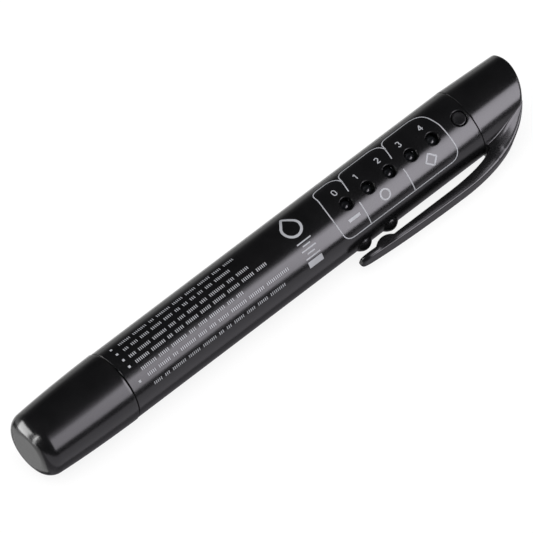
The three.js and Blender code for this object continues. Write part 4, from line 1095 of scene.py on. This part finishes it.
def stageCard(name, corners, colour, strength, ramp=None, top=None):
    # a flat card seen only in the gloss; ramp gives (axis, from, to, strength there), and top
    # (x0, x1, z0, z1, softness) fades it out above a line from (x0, z0) to (x1, z1)
    material = bpy.data.materials.new(name)
    material.use_nodes = True
    tree = material.node_tree
    tree.nodes.clear()
    glow = addNode(tree, "Emission", Color=toLinear(colour), Strength=strength)
    place = addNode(tree, "TexCoord").outputs["Object"]
    axes = addNode(tree, "SeparateXYZ", [("Vector", place)]).outputs

    def spread(source, values, kind="SMOOTHSTEP"):
        ends = dict(zip(("From Min", "From Max", "To Min", "To Max"), values))
        return addNode(tree, "MapRange", [("Value", source)],
                       interpolation_type=kind, **ends).outputs["Result"]

    def both(kind, first, second):
        return addNode(tree, "Math", [(0, first), (1, second)], operation=kind).outputs[0]

    if ramp:
        brightness = spread(axes[ramp[0]], ramp[1:])
        if top:
            below = both("SUBTRACT", spread(axes["X"], top[:4], "LINEAR"), axes["Z"])
            fade = spread(below, (-top[4], top[4], 0, 1))
            brightness = both("MULTIPLY", fade, brightness)
        tree.links.new(brightness, glow.inputs["Strength"])
    addNode(tree, "OutputMaterial", [("Surface", glow.outputs["Emission"])])
    card = flatSheet(name, corners, material)
    card.visible_camera = card.visible_diffuse = card.visible_shadow = False
    card.visible_transmission = False


# a matte table that glows a little, so that the pen's shadow stays faint
table = newMaterial("matteWhiteTable", "#595959", 0.9,
                    **{"Emission Color": (1, 1, 1, 1), "Emission Strength": 0.86})[0]
floor = flatSheet("floor", level(-4, 4, -4, 4, 0), table)
floor.visible_glossy = False

world = bpy.data.worlds.new("studio")
scene.world = world
world.use_nodes = True
backdrop = world.node_tree.nodes["Background"].inputs
backdrop["Color"].default_value, backdrop["Strength"].default_value = (1, 1, 1, 1), 0.75
world.cycles_visibility.glossy = False

overhead = bpy.data.objects.new("overhead", bpy.data.lights.new("overhead", "AREA"))
scene.collection.objects.link(overhead)
overhead.data.shape, overhead.data.size, overhead.data.energy = "SQUARE", 1.6, 26
overhead.location = (-0.2, -0.5, 1.3)
overhead.rotation_euler = (-overhead.location).to_track_quat("-Z", "Y").to_euler()
overhead.visible_glossy = False

# the main softbox, on the clip's side, rises and grows brighter towards the end cap; the last
# two cards stand beyond the cap's end and show only on its round corner
for card in (
    ("softbox_side", standing(-0.12, 0.75, -0.8, 0.0, 1.1), cool, 3.6,
     ("X", 0.22, 0.4, 3.5, 6.6), (0.28, 0.57, 0.6, 0.93, 0.09)),
    ("card_near", standing(0.055, 0.11, -0.14, 0.0, 0.105), cool, 6.6),
    ("softbox_far", standing(1.0, 1.9, -0.8, 0.0, 1.2), cool, 2.5),
    ("softbox_haze", standing(-0.12, 0.25, -0.79, 0.6, 1.0), cool, 0.8, ("Z", 0.6, 0.95, 1.1, 0.3)),
    # the two dim cards in the strip under and beside the pen are painted shadow: they stand for the
    # pen's shadow on the table, as the gloss sees it
    ("table_near_painted_shadow", level(-1.5, -0.12, -0.2, 0.1), cool, 0.3),
    ("table_glow", level(-1.5, 1.5, -1.1, -0.2), cool, 0.8),
    ("table_under_painted_shadow", level(-0.12, 1.5, -0.2, 0.3), cool, 0.2),
    ("table_end", level(-1.5, -0.2, 0.1, 0.9), white, 1.0),
    ("far_glow", standing(-1.5, 1.5, 0.8, -0.15, 0.4), white, 0.5, ("Z", -0.1, 0.3, 0.7, 0.05)),
    ("far_table", level(-0.12, 1.5, 0.3, 1.5), white, 0.9),
    ("softbox_end", [(-0.52, 0.89, -0.095), (-0.236, 0.924, 0.356), (-0.861, 0.172, 0.477),
                     (-0.819, 0.522, -0.356)], white, 9.0),
    ("softbox_strip", [(-0.859, -0.118, 0.618), (-0.742, -0.28, 0.7), (-0.908, 0.38, -0.393),
                       (-0.941, 0.369, -0.329)], white, 22.0),
):
    stageCard(*card)
print("studio set")
